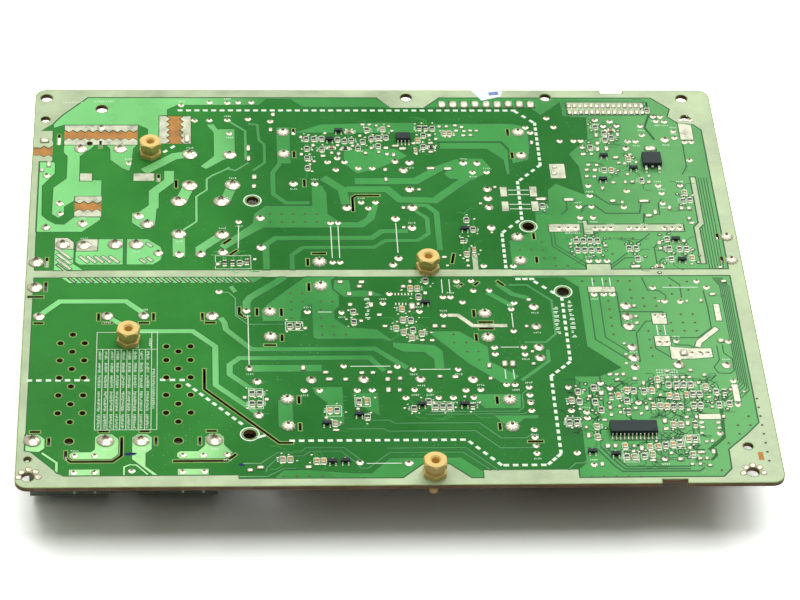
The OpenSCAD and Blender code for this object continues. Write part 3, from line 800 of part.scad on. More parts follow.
// Outlines printed round groups of chips: left, near, right, far
print_boxes = [
    [-22.8, -68.4, -17.9, -63.4], [-13.6, -64, -8.6, -59.8], [10.8, -66.4, 17.9, -62],
    [-47.4, -64.8, -42.6, -55.4], [-34.8, -28, -29, -23.6], [53, -73.9, 57.9, -69.5],
    [85.6, -84, 90, -79.9], [69.8, -89.9, 74.8, -84.4], [90.3, -81.4, 95, -77.6], [-57.4, 2.6, -45.4, 9.4],
];
// Printed marks of the wire links: the two ends of each line
link_marks = [
    [[-18.2, 24.4], [-18.2, 8]], [[-15.7, 24.4], [-15.7, 8]], [[4, 26], [4, 10.6]],
    [[-49.3, 25], [-49.6, 13]],
    [[-46.9, -20.4], [-46.9, -44.2]], [[39.9, -19.8], [39.9, -26.8]], [[17.7, -3], [17.7, -9.8]],
    [[20.2, -3], [20.2, -9.8]], [[68.2, -2.4], [68.2, -6.4]], [[71.6, -2.4], [71.6, -6.4]],
    [[74.1, -2.4], [74.1, -6.4]], [[87.3, -26], [87.3, -30.9]], [[89.8, -26], [89.8, -30.9]],
    [[-24, -19], [-19.4, -19]], [[-14.4, -45.2], [-1.4, -45.2]], [[8, -46.8], [18, -46.8]],
    [[91.4, -7.3], [103.4, -7.3]], [[35, -36.4], [41, -36.4]], [[-11, -89.6], [0, -89.6]],
    [[35.6, -47], [35.6, -51.4]], [[38.3, -47], [38.3, -51.4]], [[43.6, 43.4], [50.8, 43.4]],
    [[43.6, 41], [50.8, 41]], [[43.6, 35.8], [50.8, 35.8]], [[43.6, 33.4], [50.8, 33.4]],
];

// What stands on the board, as a flat shape that the print keeps clear of
module footprints() {
    for (p = small_joints) disc_at(p, joint_d);
    for (p = large_joints) disc_at(p, p[2]);
    for (p = star_joints) disc_at(p, p[2]);
    for (p = spacer_at) disc_at(p, spacer_flats / cos(30));
    for (c = concat(black_chips, tan_chips, orange_chips)) translate([c[0], c[1]]) rotate(90 * c[2])
        square([chip_w, chip_l], center = true);
    for (p = all_mounds) translate([p[0], p[1]]) square([p[2], p[3]], center = true);
    for (p = transistors) translate([p[0], p[1]]) square([2.9, 2.6], center = true);
}

module print_film() {
    color("#e8f0dc") translate([0, 0, top_z]) linear_extrude(print_t) children();
}

module dashes() {
    for (p = dash_paths) {
        run = p[1] - p[0];
        n = max(1, round(norm(run) / dash_pitch));
        for (i = [0:n]) translate(p[0] + run * i / n) rotate(atan2(run[1], run[0]))
            square([dash_l, dash_w], center = true);
    }
}

module isolation_line() {
    print_film() difference() {
        dashes();
        footprints();
        board_openings();
    }
}

module ring_print(p) {
    difference() {
        disc_at(p, ring_d);
        disc_at(p, ring_d - 2 * ring_w);
    }
}

module frame_lines(b) {
    difference() {
        translate([b[0], b[1]]) square([b[2] - b[0], b[3] - b[1]]);
        translate([b[0] + rule_w, b[1] + rule_w])
            square([b[2] - b[0] - 2 * rule_w, b[3] - b[1] - 2 * rule_w]);
    }
}

module ruled_table() {
    frame_lines(table);
    for (x = table_rules) translate([x, table[1]])
        square([rule_w, (x == table_rules[8] ? table[3] : table_head_y) - table[1]]);
    translate([table[0], table_head_y]) square([table[2] - table[0], rule_w]);
}

module board_print() {
    print_film() difference() {
        union() {
            ruled_table();
            for (p = ringed_holes) ring_print(p);
            for (b = print_boxes) frame_lines(b);
            for (m = link_marks) polygon(ribbon(m, 0.3));
        }
        dashes();
        footprints();
        board_openings();
    }
}

// Moulded hex spacers: a hexagonal head and foot over a round waist, a blind bore in the head,
// a stud down through the board, and a nut below
stud_drop = 6;
spacer_r = spacer_flats / 2 + 1;
waist_r = spacer_flats / 2 - 0.4;
foot_h = 0.25 * spacer_h;
head_h = 0.36 * spacer_h;
step_h = 0.3;
sink_h = 0.5;

module spacer_profile() {
    polygon([[0, 0], [spacer_r, 0], [spacer_r, foot_h], [waist_r, foot_h + step_h],
        [waist_r, spacer_h - head_h - step_h], [spacer_r, spacer_h - head_h],
        [spacer_r, spacer_h - spacer_r + waist_r + step_h], [waist_r + step_h, spacer_h], [0, spacer_h]]);
}

module hex_spacer(p) {
    color("#e3c272") {
        on_top(p) difference() {
            rotate(30 + p[2]) intersection() {
                cylinder(h = spacer_h, d = spacer_flats / cos(30), $fn = 6);
                rotate_extrude($fn = 48) spacer_profile();
            }
            translate([0, 0, spacer_h - spacer_bore_h])
                cylinder(h = spacer_h, d = spacer_bore_d, $fn = 32);
            translate([0, 0, spacer_h - sink_h])
                cylinder(h = 2 * sink_h, d1 = spacer_bore_d, d2 = spacer_bore_d + 4 * sink_h, $fn = 32);
        }
        translate([p[0], p[1], stand_h - stud_drop])
            cylinder(h = top_z - stand_h + stud_drop, d = stud_d, $fn = 24);
    }
}

module spacer_nuts() {
    color("#d9b868") for (p = spacer_at) translate([p[0], p[1], stand_h - 2.4]) difference() {
        cylinder(h = 2.4, d = 5.5 / cos(30), $fn = 6);
        translate([0, 0, -1]) cylinder(h = 5, d = stud_d, $fn = 24);
    }
}

// A slip of paper folded at the far edge
module sticker() {
    color("#f4f6fb") on_top([0, 0]) linear_extrude(2 * print_t)
        polygon([[34.6, 99], [46, 99], [45, 95.4], [38, 93.2]]);
}

// From here down: the component side. Places are those of the joints above.

// A part hung from the board's underside at p, its top h0 below the board
module below(p, h0 = 0) {
    translate([p[0], p[1], stand_h - h0]) mirror([0, 0, 1]) children();
}

// A folded sheet heatsink between two pairs of feet: left x, right x, middle y, height and slot count
module channel_heatsink(x0, x1, y, h, n) {
    t = 1.6;
    depth = 13.4;
    wall_top = 1.2;
    w = x1 - x0;
    color("#c3c6c8") {
        below([(x0 + x1) / 2, y], wall_top) difference() {
            translate([-w / 2, -depth / 2, 0]) cube([w, depth, h - wall_top]);
            translate([-w / 2 - 1, -depth / 2 + t, -1]) cube([w + 2, depth - 2 * t, h - wall_top - t + 1]);
            for (i = [0:n - 1]) translate([(i + 0.5) * w / n - w / 2 - 2.2, -2.6, h - wall_top - 2 * t])
                cube([4.4, 5.2, 3 * t]);
        }
        for (x = [x0 + 1.8, x1 - 1.8], s = [-1, 1]) below([x, y + s * (depth - t) / 2])
            translate([-1.2, -t / 2, 0]) cube([2.4, t, wall_top]);
    }
}

module pfc_heatsink() { channel_heatsink(-36, 52, 68.8, stand_h, 9); }
module bridge_heatsink() { channel_heatsink(-118.6, -20.6, 0, stand_h - 1, 10); }
module standby_heatsink() { channel_heatsink(-41.6, 33, -25.4, stand_h - 1, 8); }
module inverter_heatsink() { channel_heatsink(-37, 38, -67, stand_h, 8); }
module rectifier_heatsink() { channel_heatsink(43, 118.4, 12.4, stand_h, 8); }

// Power devices standing with their backs to a heatsink wall: x, y of the wall, side it faces
devices = [
    [-27.1, -60.3, 1], [-10.2, -60.3, 1], [8, -60.3, 1], [24.8, -60.3, 1],
    [62.4, 19.1, 1], [74.5, 19.1, 1], [86.1, 19.1, 1], [98.2, 19.1, 1],
    [-15, 62.1, -1], [8.1, 62.1, -1], [31.4, 62.1, -1],
];
device_w = 10;
device_tab_t = 1.3;
device_t = 3.2;

module device_at(p) {
    below([p[0], p[1]]) rotate(p[2] > 0 ? 0 : 180) children();
}

module device_bodies() {
    color("#26282a") for (p = devices) device_at(p) translate([-device_w / 2, device_tab_t, 4])
        cube([device_w, device_t, 9.2]);
}

module device_tabs() {
    color("#b9b6ac") for (p = devices) device_at(p) difference() {
        translate([-device_w / 2, 0, 4]) cube([device_w, device_tab_t, 15.4]);
        translate([0, 3, 16.6]) rotate([90, 0, 0]) cylinder(h = 6, d = 3.7, $fn = 24);
    }
}

module device_leads() {
    color("#c8c5ba") for (p = devices, i = [-1:1]) device_at(p)
        translate([2.54 * i - 0.4, device_tab_t + 0.9, 0]) cube([0.8, 0.5, 4]);
}

// A flat-laid transformer: centre, size along the winding, across it, height, and its turn
module transformer_core(c, l, w, h, turn) {
    leg = w * 0.17;
    back = l * 0.16;
    color("#3a3b40") below(c, h * 0.24) rotate(turn) difference() {
        translate([-l / 2, -w / 2, 0]) cube([l, w, h * 0.6]);
        translate([-l / 2 + back, -w / 2 + leg, -1]) cube([l - 2 * back, w - 2 * leg, h]);
    }
}

module transformer_winding(c, l, w, h, turn) {
    leg = w * 0.17 + 0.6;
    inner = l * 0.68 - 3;
    color("#e0b53c") below(c, h * 0.12) rotate(turn) rotate([90, 0, 90])
        translate([0, h * 0.44, -inner / 2])
        linear_extrude(inner) rounded(w - 2 * leg, h * 0.88, 3);
}

module transformer_bobbin(c, l, w, h, turn) {
    inner = l * 0.68;
    flange = 1.5;
    leg = w * 0.17 + 0.2;
    color("#2b2a2a") below(c) rotate(turn) {
        for (s = [-1, 1]) {
            translate([s * (inner - flange) / 2 - flange / 2, -w / 2 + leg, h * 0.08])
                cube([flange, w - 2 * leg, h * 0.92]);
            translate([s * (l / 2 + 0.5) - (s > 0 ? l * 0.18 : 0), -w / 2 + leg, 0])
                cube([l * 0.18, w - 2 * leg, h * 0.24]);
        }
    }
}

// Centre, length, width, height and turn of each
main_t = [[62.8, -31.2], 34, 33, stand_h, 0];
standby_t = [[50, 36.5], 31, 23, stand_h - 2, 0];
drive_t = [[[49, -61], 16.4, 15.6, 13, 0], [[49, -80.4], 16.4, 14.8, 13, 0]];
lamp_t = [[[-104, -49.8], 62, 25, stand_h, 90], [[-69.7, -49.8], 62, 25, stand_h, 90]];

all_t = concat([main_t, standby_t], drive_t, lamp_t);

module core_of(t) { transformer_core(t[0], t[1], t[2], t[3], t[4]); }

module main_core() { core_of(main_t); }
module standby_core() { core_of(standby_t); }
module drive_cores() { for (t = drive_t) core_of(t); }
module lamp_cores() { for (t = lamp_t) core_of(t); }
module transformer_windings() { for (t = all_t) transformer_winding(t[0], t[1], t[2], t[3], t[4]); }
module transformer_bobbins() { for (t = all_t) transformer_bobbin(t[0], t[1], t[2], t[3], t[4]); }

// Mains filter chokes: an upright ferrite frame with two windings, on a plastic base
filter_at = [[-58.6, 54.3], [-62.2, 28.8]];
filter_w = 21;
filter_leg = 5;
filter_core_t = 6;
filter_base = 3;
filter_h = stand_h - filter_base;

module rounded(w, d, r) {
    square([w - 2 * r, d], center = true);
    square([w, d - 2 * r], center = true);
    for (x = [-1, 1], y = [-1, 1]) translate([x * (w / 2 - r), y * (d / 2 - r)]) circle(r = r, $fn = 24);
}

module filter_bases() {
    color("#33363a") for (p = filter_at) below(p) translate([-filter_w / 2, -filter_w / 2, 0])
        cube([filter_w, filter_w, filter_base]);
}

module filter_cores() {
    window_w = filter_w - 2 * filter_leg;
    color("#45444a") for (p = filter_at) below(p, filter_base) difference() {
        translate([-filter_w / 2, -filter_core_t / 2, 0]) cube([filter_w, filter_core_t, filter_h]);
        translate([-window_w / 2, -filter_core_t, 4]) cube([window_w, 2 * filter_core_t, filter_h - 8]);
    }
}

module filter_windings() {
    color("#b5652b") for (p = filter_at, s = [-1, 1])
        below([p[0] + s * (filter_w - filter_leg) / 2, p[1]], filter_base + 4)
            linear_extrude(filter_h - 8) difference() {
                rounded(10, 14, 3);
                square([filter_leg, filter_core_t], center = true);
            }
}

// The boost choke: a flat core with a taped winding
choke_c = [13.6, 33];
choke_size = [26, 25, 21];
choke_wall = 4.4;

module boost_core() {
    color("#3c3d42") below(choke_c) translate([-choke_size[0] / 2, -choke_size[1] / 2, 0]) difference() {
        cube(choke_size);
        translate([choke_wall, -1, choke_wall])
            cube([choke_size[0] - 2 * choke_wall, choke_size[1] + 2, choke_size[2] - 2 * choke_wall]);
    }
}

module boost_winding() {
    color("#d9a93a") below(choke_c, choke_wall) translate([choke_wall - choke_size[0] / 2, -11, 0])
        cube([choke_size[0] - 2 * choke_wall, 22, choke_size[2] - 2 * choke_wall]);
}

// Plain boxes: film capacitors, the flat bridge and the opto-couplers
module box_below(c, size, h0 = 0) {
    below(c, h0) translate([-size[0] / 2, -size[1] / 2, 0]) cube(size);
}

module film_capacitors() {
    color("#c9c7bb") {
        box_below([-90.8, 50.6], [26, 12, 20]);
        box_below([-91, 27.8], [26, 12, 20]);
        box_below([-43, 21], [5.4, 18, 14]);
    }
}

// The flat bridge against its heatsink, its four legs cranked out to their joints
module bridge_rectifier() {
    color("#2a2b2d") box_below([-96.2, 9], [30, 4.6, 17], 5);
    color("#c8c5ba") for (x = [-108.2, -101.2, -90.7, -83.7]) below([x, 0]) rotate([90, 0, 90])
        linear_extrude(1) polygon([
            [8.6, 5], [8.6, 1.6], [14.6, 1.6], [14.6, 0], [15.6, 0], [15.6, 2.6], [9.6, 2.6], [9.6, 5],
        ]);
}

module opto_couplers() {
    color("#2c2f31") for (p = [[32, -4.5], [36, 83], [-52, -88.5]]) box_below(p, [6.5, 4.6, 3.8]);
}

// Radial capacitors: place, diameter and height
bulk_caps = [[-26.5, 46.8, 18, 24.4], [-30, 24.6, 18, 24.4], [-9.6, 20.6, 14, 22]];
small_caps = [
    [34.5, 53, 8, 14], [-5.1, 52.6, 8, 14], [71.7, 43, 10, 18], [71.2, 31.5, 10, 18], [84.2, 38.5, 10, 18],
    [96.7, 38.9, 12, 20], [93.4, 76.1, 12, 20], [89.4, 66.6, 6.3, 11], [94, -14.4, 8, 16],
];

module can(c) {
    groove = 0.5;
    below(c) rotate_extrude($fn = 40) polygon([
        [0, 0], [c[2] / 2, 0], [c[2] / 2, 1.6], [c[2] / 2 - groove, 2.2], [c[2] / 2, 2.8],
        [c[2] / 2, c[3] - 0.8], [c[2] / 2 - 0.8, c[3]], [0, c[3]],
    ]);
}

module bulk_capacitors() { color("#2d3038") for (c = bulk_caps) can(c); }
module small_capacitors() { color("#3a4150") for (c = small_caps) can(c); }

// Discs: suppression capacitors, the varistor and the inrush limiter, each on edge
discs = [[-58.7, 87, 9, 90], [-50.5, 92.6, 6, 0], [-44.4, 85.5, 8, 90], [-108.6, 34, 12, 90],
    [-65.8, 10, 13, 0]];

module disc_parts() {
    lift = 3;
    for (c = discs) below([c[0], c[1]]) rotate(c[3]) {
        color("#2e5fa3") translate([0, 2, lift + c[2] / 2]) rotate([90, 0, 0])
            cylinder(h = 4, d = c[2], $fn = 32);
        color("#c8c5ba") for (s = [-1, 1]) translate([s * c[2] * 0.35, 0, 0])
            cylinder(h = lift + c[2] * 0.25, d = 0.8, $fn = 14);
    }
}

// The fuse: a glass tube with metal caps held in two clips
fuse_x = -114.4;
fuse_y = [29.4, 46.4];
fuse_drop = 6;

module fuse_tube() {
    color("#dfe8e6") below([fuse_x, fuse_y[0]], fuse_drop) rotate([-90, 0, 0])
        cylinder(h = fuse_y[1] - fuse_y[0], d = 4.6, $fn = 28);
}

module fuse_clips() {
    color("#bdb9aa") for (y = [fuse_y[0] - 2.5, fuse_y[1] + 2.5]) {
        below([fuse_x, y + 2.5], fuse_drop) rotate([90, 0, 0]) cylinder(h = 5, d = 5.2, $fn = 28);
        for (s = [-1, 1]) below([fuse_x + s * 2.9, y]) translate([-0.4, -1.6, 0]) cube([0.8, 3.2, 7.6]);
        below([fuse_x, y]) translate([-3.3, -1.6, 2]) cube([6.6, 3.2, 1.5]);
    }
}

// A wafer connector: a base, a back wall on one side, and square pins
pin_w = 0.64;
wafer_base = 3;

module wafer(c, w, d, h, back) {
    wall = 1.2;
    below(c) {
        translate([-w / 2, -d / 2, 0]) cube([w, d, wafer_base]);
        translate([-w / 2, back * (d - wall) / 2 - wall / 2, 0]) cube([w, wall, h]);
    }
}

module pin_row(x0, n, pitch, y, h) {
    for (i = [0:n - 1]) below([x0 + i * pitch, y], wafer_base) translate([-pin_w / 2, -pin_w / 2, 0])
        cube([pin_w, pin_w, h - wafer_base - 1]);
}

module mains_connector() {
    color("#ece9dd") wafer([-96.6, 66], 22, 9, 12, 1);
    color("#c9c5b6") pin_row(-103.4, 2, 13.6, 65, 12);
}

module output_connector() {
    color("#efece0") wafer([39.5, 90.9], 35.6, 7, 11, -1);
    color("#c9c5b6") pin_row(23.7, 9, 3.96, 91.5, 11);
}

module signal_connector() {
    color("#efece0") wafer([82, 88.6], 30, 7.6, 9, -1);
    color("#c9c5b6") for (y = [87, 90.4]) pin_row(69, 14, 2, y, 9);
}

module lamp_connectors() {
    color("#efece0") for (x = [-98.7, -65]) wafer([x, -89.1], 12.4, 10, 9, 1);
    color("#c9c5b6") for (x = [-101.9, -68.2], y = [-92, -86.8]) pin_row(x, 2, 6.4, y, 9);
}

// Wire links on the component side, from joint to joint, and the depth of their span
links = [
    [[-18.2, 24], [-18.2, 8.2]], [[-46.9, -19.6], [-46.9, -45]], [[39.9, -33], [39.9, -45]],
    [[20.2, -46.9], [5.8, -46.9]], [[-16.4, -45.1], [0.8, -45.1]], [[-13, -89.4], [2.2, -89.4]],
    [[17.7, -11.9], [17.7, -2]], [[20.2, -11.9], [20.2, -2]], [[87.3, -21.7], [87.3, -34.8]],
    [[89.8, -21.7], [89.8, -34.8]], [[93, -34], [110.1, -34]], [[88.1, -7.5], [106.2, -7.5]],
    [[71.4, -10.7], [71.4, 4.4]], [[74.2, -10.7], [74.2, 4.4]],
];
link_d = 0.8;
link_drop = 1;

module wire_links() {
    color("#c9c6b8") for (p = links) {
        run = p[1] - p[0];
        below(p[0], link_drop) rotate(atan2(run[1], run[0])) rotate([0, 90, 0])
            cylinder(h = norm(run), d = link_d, $fn = 14);
        for (q = p) below(q) cylinder(h = link_drop + link_d / 2, d = link_d, $fn = 14);
    }
}

module spacer_far() { hex_spacer(spacer_at[0]); }
module spacer_middle() { hex_spacer(spacer_at[1]); }
module spacer_left() { hex_spacer(spacer_at[2]); }
module spacer_near() { hex_spacer(spacer_at[3]); }

laminate();
solder_mask();
masked_copper();
tinned_copper();
solder_joints();
lobed_joints();
lead_tips();
solder_mounds();
chip_resistors();
ceramic_chips();
coated_chips();
chip_ends();
transistor_bodies();
controller_body();
driver_body();
package_leads();
power_body();
power_tab();
isolation_line();
board_print();
sticker();
spacer_far();
spacer_middle();
spacer_left();
spacer_near();
spacer_nuts();
pfc_heatsink();
bridge_heatsink();
standby_heatsink();
inverter_heatsink();
rectifier_heatsink();
device_bodies();
device_tabs();
device_leads();
main_core();
standby_core();
drive_cores();
lamp_cores();
transformer_windings();
transformer_bobbins();
filter_bases();
filter_cores();
filter_windings();
boost_core();
boost_winding();
film_capacitors();
bridge_rectifier();
opto_couplers();
bulk_capacitors();
small_capacitors();
disc_parts();
fuse_tube();
fuse_clips();
mains_connector();
output_connector();
signal_connector();
lamp_connectors();
wire_links();
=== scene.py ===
# %% [markdown]
# # The power supply board of a flat television
# A power supply board is a sheet of brown laminate with copper on one side. The copper is etched
# into tracks, covered in green solder mask, and left bare and tinned where current or screws meet it.
# It lies here solder side up, on its own transformers and heatsinks.
# The solids come packed as a fixed frame; this lesson gives them their finishes, and replaces the
# plain joints, mounds, chip caps and lead ends by surfaces that numpy works out.

import bpy
import numpy as np
from mathutils import Matrix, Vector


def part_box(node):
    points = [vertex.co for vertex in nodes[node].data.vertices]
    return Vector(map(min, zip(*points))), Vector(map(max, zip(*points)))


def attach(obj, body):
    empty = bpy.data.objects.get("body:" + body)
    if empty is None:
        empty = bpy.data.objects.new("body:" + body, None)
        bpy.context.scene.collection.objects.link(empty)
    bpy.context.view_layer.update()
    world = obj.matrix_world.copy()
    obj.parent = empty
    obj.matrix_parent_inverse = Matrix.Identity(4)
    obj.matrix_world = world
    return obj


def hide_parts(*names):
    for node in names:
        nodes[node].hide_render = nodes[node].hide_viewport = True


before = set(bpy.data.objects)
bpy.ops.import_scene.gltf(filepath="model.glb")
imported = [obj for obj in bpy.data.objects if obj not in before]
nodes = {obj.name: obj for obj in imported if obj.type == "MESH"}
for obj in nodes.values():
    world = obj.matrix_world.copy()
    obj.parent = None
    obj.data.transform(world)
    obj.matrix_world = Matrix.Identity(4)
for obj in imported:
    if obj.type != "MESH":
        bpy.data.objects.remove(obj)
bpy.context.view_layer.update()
rng = np.random.default_rng(7)
MM = 0.001
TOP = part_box("tinned_copper")[1].z
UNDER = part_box("laminate")[0].z
print("nodes", len(nodes), "board top", round(TOP, 4))

# %% [markdown]
# ## Camera
# The camera stands in front of the near edge, a little left of the middle, and looks down at about
# forty degrees through a long lens, so that the board's sides hardly converge. Its turn is three
# rotations, one after another: about the upright, about the picture's width, and about the view line.

# %% Camera
YAW, PITCH, ROLL = 0.0902, -0.8433, -0.0566
CAMERA_PLACE = (-0.06638, -0.78469, TOP + 0.68978)
FOCAL_IN_PIXELS = 3140.7
FRAME_WIDTH = 800
SENSOR = 36.0


def turn(angle, a, b):
    """A 3 x 3 turn by angle in the plane of axes a and b: cosines on the diagonal, sines beside it."""
    m = np.eye(3)
    m[a, a] = m[b, b] = np.cos(angle)
    m[b, a] = np.sin(angle)
    m[a, b] = -np.sin(angle)
    return m


view = turn(ROLL, 0, 1) @ turn(PITCH, 1, 2) @ turn(YAW, 0, 1)
camera_data = bpy.data.cameras.new("camera")
camera_data.sensor_width = SENSOR
camera_data.lens = FOCAL_IN_PIXELS / FRAME_WIDTH * SENSOR
camera_data.clip_end = 20
camera = bpy.data.objects.new("camera", camera_data)
bpy.context.scene.collection.objects.link(camera)
camera.matrix_world = Matrix.Translation(CAMERA_PLACE) @ Matrix(view.T.tolist()).to_4x4()
bpy.context.scene.camera = camera
print("lens", round(camera_data.lens, 1), "mm")

# %% [markdown]
# ## Nodes
# The world and every material are trees of nodes. A node takes numbers or links at its inputs, does
# one step of the work, and gives the result at its outputs. The helpers make the nodes that come back
# often, so that a tree can be written like a sum.

# %% Helpers for nodes
def feed(tree, sockets, values):
    """Gives each socket named in values its fixed value, or a link when the value is a socket too."""
    for key, value in values.items():
        if isinstance(value, bpy.types.NodeSocket):
            tree.links.new(value, sockets[key])
        else:
            sockets[key].default_value = value


def add(tree, kind, inputs=(), **properties):
    """A node of that kind, with its properties set and its inputs fed."""
    node = tree.nodes.new(kind)
    for key, value in properties.items():
        setattr(node, key, value)
    feed(tree, node.inputs, dict(inputs))
    return node


def maths(tree, operation, *values, **properties):
    """The result of a Math node on two or three numbers or sockets."""
    return add(tree, "ShaderNodeMath", enumerate(values), operation=operation, **properties).outputs[0]


def ranged(tree, value, low, high, to_low=0.0, to_high=1.0, **properties):
    """The socket value moved from the range low..high to to_low..to_high, and held inside it."""
    return add(tree, "ShaderNodeMapRange", {
        "Value": value, "From Min": low, "From Max": high, "To Min": to_low, "To Max": to_high,
    }, **properties).outputs["Result"]


# %% [markdown]
# ## Floor, world and lamps
# Small products are often shown on a white sweep. Here one large soft lamp hangs almost overhead, so
# the shadow ends close to the board and the space under the near edge stays dark. The world adds a
# low fill with a faint green-yellow tint, strongest overhead and a little behind. Two smaller lamps far
# behind are there for their reflections: they make the gloss of the board's sides pale.
#
# Some rays see a plain pale background instead of the fill: those straight from the camera, those
# through glass, and the first reflection after the camera. Later reflections don't, or a heatsink
# would light the floor under the board.

# %% Floor, world and lamps
def backdrop_rays(tree):
    """A socket that is 1 for rays that see the pale background, and else 0:
    glossy * (depth < 1.5) + max(camera, transmission)."""
    ray = add(tree, "ShaderNodeLightPath").outputs
    straight = maths(tree, "MAXIMUM", ray["Is Camera Ray"], ray["Is Transmission Ray"])
    first = maths(tree, "LESS_THAN", ray["Ray Depth"], 1.5)
    return maths(tree, "MULTIPLY_ADD", ray["Is Glossy Ray"], first, straight)


scene = bpy.context.scene
scene.view_settings.view_transform = "Standard"

FILL_TINT = (0.93, 1.0, 0.86, 1)
FILL_FROM = (0, 0.25, 0.968)
FILL_STRENGTH = 0.6
world = bpy.data.worlds.new("white room")
scene.world = world
world.use_nodes = True
w = world.node_tree
w.nodes.clear()
direction = add(w, "ShaderNodeTexCoord").outputs["Generated"]
height = add(w, "ShaderNodeVectorMath", {0: direction, 1: FILL_FROM}, operation="DOT_PRODUCT")
overhead = ranged(w, height.outputs["Value"], 0.2, 1.0, 0.0, FILL_STRENGTH)
fill = add(w, "ShaderNodeBackground", {"Color": FILL_TINT, "Strength": overhead})
pale = add(w, "ShaderNodeBackground", {"Strength": 1.0})
choose = add(w, "ShaderNodeMixShader", {"Fac": backdrop_rays(w), 1: fill.outputs[0], 2: pale.outputs[0]})
add(w, "ShaderNodeOutputWorld", {"Surface": choose.outputs[0]})


def soft_lamp(name, place, aim, size, power):
    """A square area lamp at place, turned so that it looks at aim."""
    data = bpy.data.lights.new(name, "AREA")
    data.size = size
    data.energy = power
    lamp = bpy.data.objects.new(name, data)
    scene.collection.objects.link(lamp)
    away = np.array(place) - np.array(aim)
    away = away / np.linalg.norm(away)
    side = np.cross((0, 0, 1), away)
    side = side / np.linalg.norm(side)
    up = np.cross(away, side)
    axes = Matrix(np.array([side, up, away]).T.tolist())
    lamp.matrix_world = Matrix.Translation(place) @ axes.to_4x4()
    return lamp


soft_lamp("lamp_over", (0.0, 0.12, 1.5), (0, 0, 0), 1.2, 15)
soft_lamp("lamp_gleam", (0.75, 1.25, 1.15), (0.1, 0, 0), 0.6, 8)
soft_lamp("lamp_left", (-0.55, 1.25, 1.15), (-0.1, 0, 0), 0.6, 4)

FLOOR_HALF, FLOOR_Z = 6.0, -1e-4
floor_mesh = bpy.data.meshes.new("floor")
floor_mesh.from_pydata(
    [(x * FLOOR_HALF, y * FLOOR_HALF, FLOOR_Z) for x, y in ((-1, -1), (1, -1), (1, 1), (-1, 1))],
    [], [(0, 1, 2, 3)])
floor = bpy.data.objects.new("floor", floor_mesh)
scene.collection.objects.link(floor)

# %% [markdown]
# ## Shared effects
# Three effects come back in nearly every finish here. Mottle shifts a colour lighter and darker in
# soft patches. Dust lays small pale specks on it. Grain gives a height for the Bump node. A fourth,
# across, is a colour that changes over the board: a painted sheen, lightest in the near left corner,
# light along the left side and darker in the middle and on the right, in place of the room's
# reflection in the mask and the copper. Each is a node group that is built once, with its strengths or
# colours as inputs.

# %% Node groups
def new_group(name, inputs, outputs):
    """An empty shader group with (name, kind, value) inputs and (name, kind) outputs, the sockets
    that give its inputs, and the sockets that take its outputs."""
    group = bpy.data.node_groups.new(name, "ShaderNodeTree")
    for label, kind, value in inputs:
        socket = group.interface.new_socket(label, in_out="INPUT", socket_type=kind)
        socket.default_value = value
    for label, kind in outputs:
        group.interface.new_socket(label, in_out="OUTPUT", socket_type=kind)
    return group, group.nodes.new("NodeGroupInput").outputs, group.nodes.new("NodeGroupOutput").inputs


def blend(tree, share, first, second):
    """A colour that is first where share is 0 and second where it is 1."""
    mixed = add(tree, "ShaderNodeMix", {"Factor": share, 6: first, 7: second}, data_type="RGBA")
    return mixed.outputs[2]


FLOAT, COLOUR = "NodeSocketFloat", "NodeSocketColor"
GREY = (0.5, 0.5, 0.5, 1)
DUST_COLOUR = (0.7, 0.78, 0.68, 1)

mottle, given, result = new_group(
    "mottle", [("Color", COLOUR, GREY), ("Amount", FLOAT, 0.2), ("Scale", FLOAT, 60.0)],
    [("Color", COLOUR), ("Mask", FLOAT)])
place = add(mottle, "ShaderNodeTexCoord").outputs["Object"]
broad = add(mottle, "ShaderNodeTexNoise", {
    "Vector": place, "Scale": given["Scale"], "Detail": 4.0, "Roughness": 0.62}).outputs["Fac"]
gain = maths(mottle, "MULTIPLY_ADD", ranged(mottle, broad, 0.3, 0.7, -1.0, 1.0), given["Amount"], 1.0)
tint = add(mottle, "ShaderNodeVectorMath", {0: given["Color"], "Scale": gain}, operation="SCALE")
feed(mottle, result, {"Color": tint.outputs[0], "Mask": broad})

dust, given, result = new_group(
    "dust", [("Color", COLOUR, GREY), ("Amount", FLOAT, 0.5), ("Scale", FLOAT, 700.0)],
    [("Color", COLOUR)])
place = add(dust, "ShaderNodeTexCoord").outputs["Object"]
specks = add(dust, "ShaderNodeTexVoronoi", {"Vector": place, "Scale": given["Scale"]})
where = add(dust, "ShaderNodeTexNoise", {"Vector": place, "Scale": 45.0, "Detail": 2.0})
both = maths(dust, "MULTIPLY", ranged(dust, specks.outputs["Distance"], 0.16, 0.05),
             ranged(dust, where.outputs["Fac"], 0.5, 0.68))
much = maths(dust, "MULTIPLY", both, given["Amount"], use_clamp=True)
feed(dust, result, {"Color": blend(dust, much, given["Color"], DUST_COLOUR)})

grain, given, result = new_group(
    "grain", [("Scale", FLOAT, 900.0), ("Stretch", FLOAT, 1.0)], [("Height", FLOAT)])
place = add(grain, "ShaderNodeTexCoord").outputs["Object"]
along = add(grain, "ShaderNodeCombineXYZ", {0: given["Stretch"], 1: 1.0, 2: 1.0})
pull = add(grain, "ShaderNodeVectorMath", {0: place, 1: along.outputs[0]}, operation="MULTIPLY")
fine = add(grain, "ShaderNodeTexNoise", {
    "Vector": pull.outputs[0], "Scale": given["Scale"], "Detail": 3.0, "Roughness": 0.6})
feed(grain, result, {"Height": fine.outputs["Fac"]})
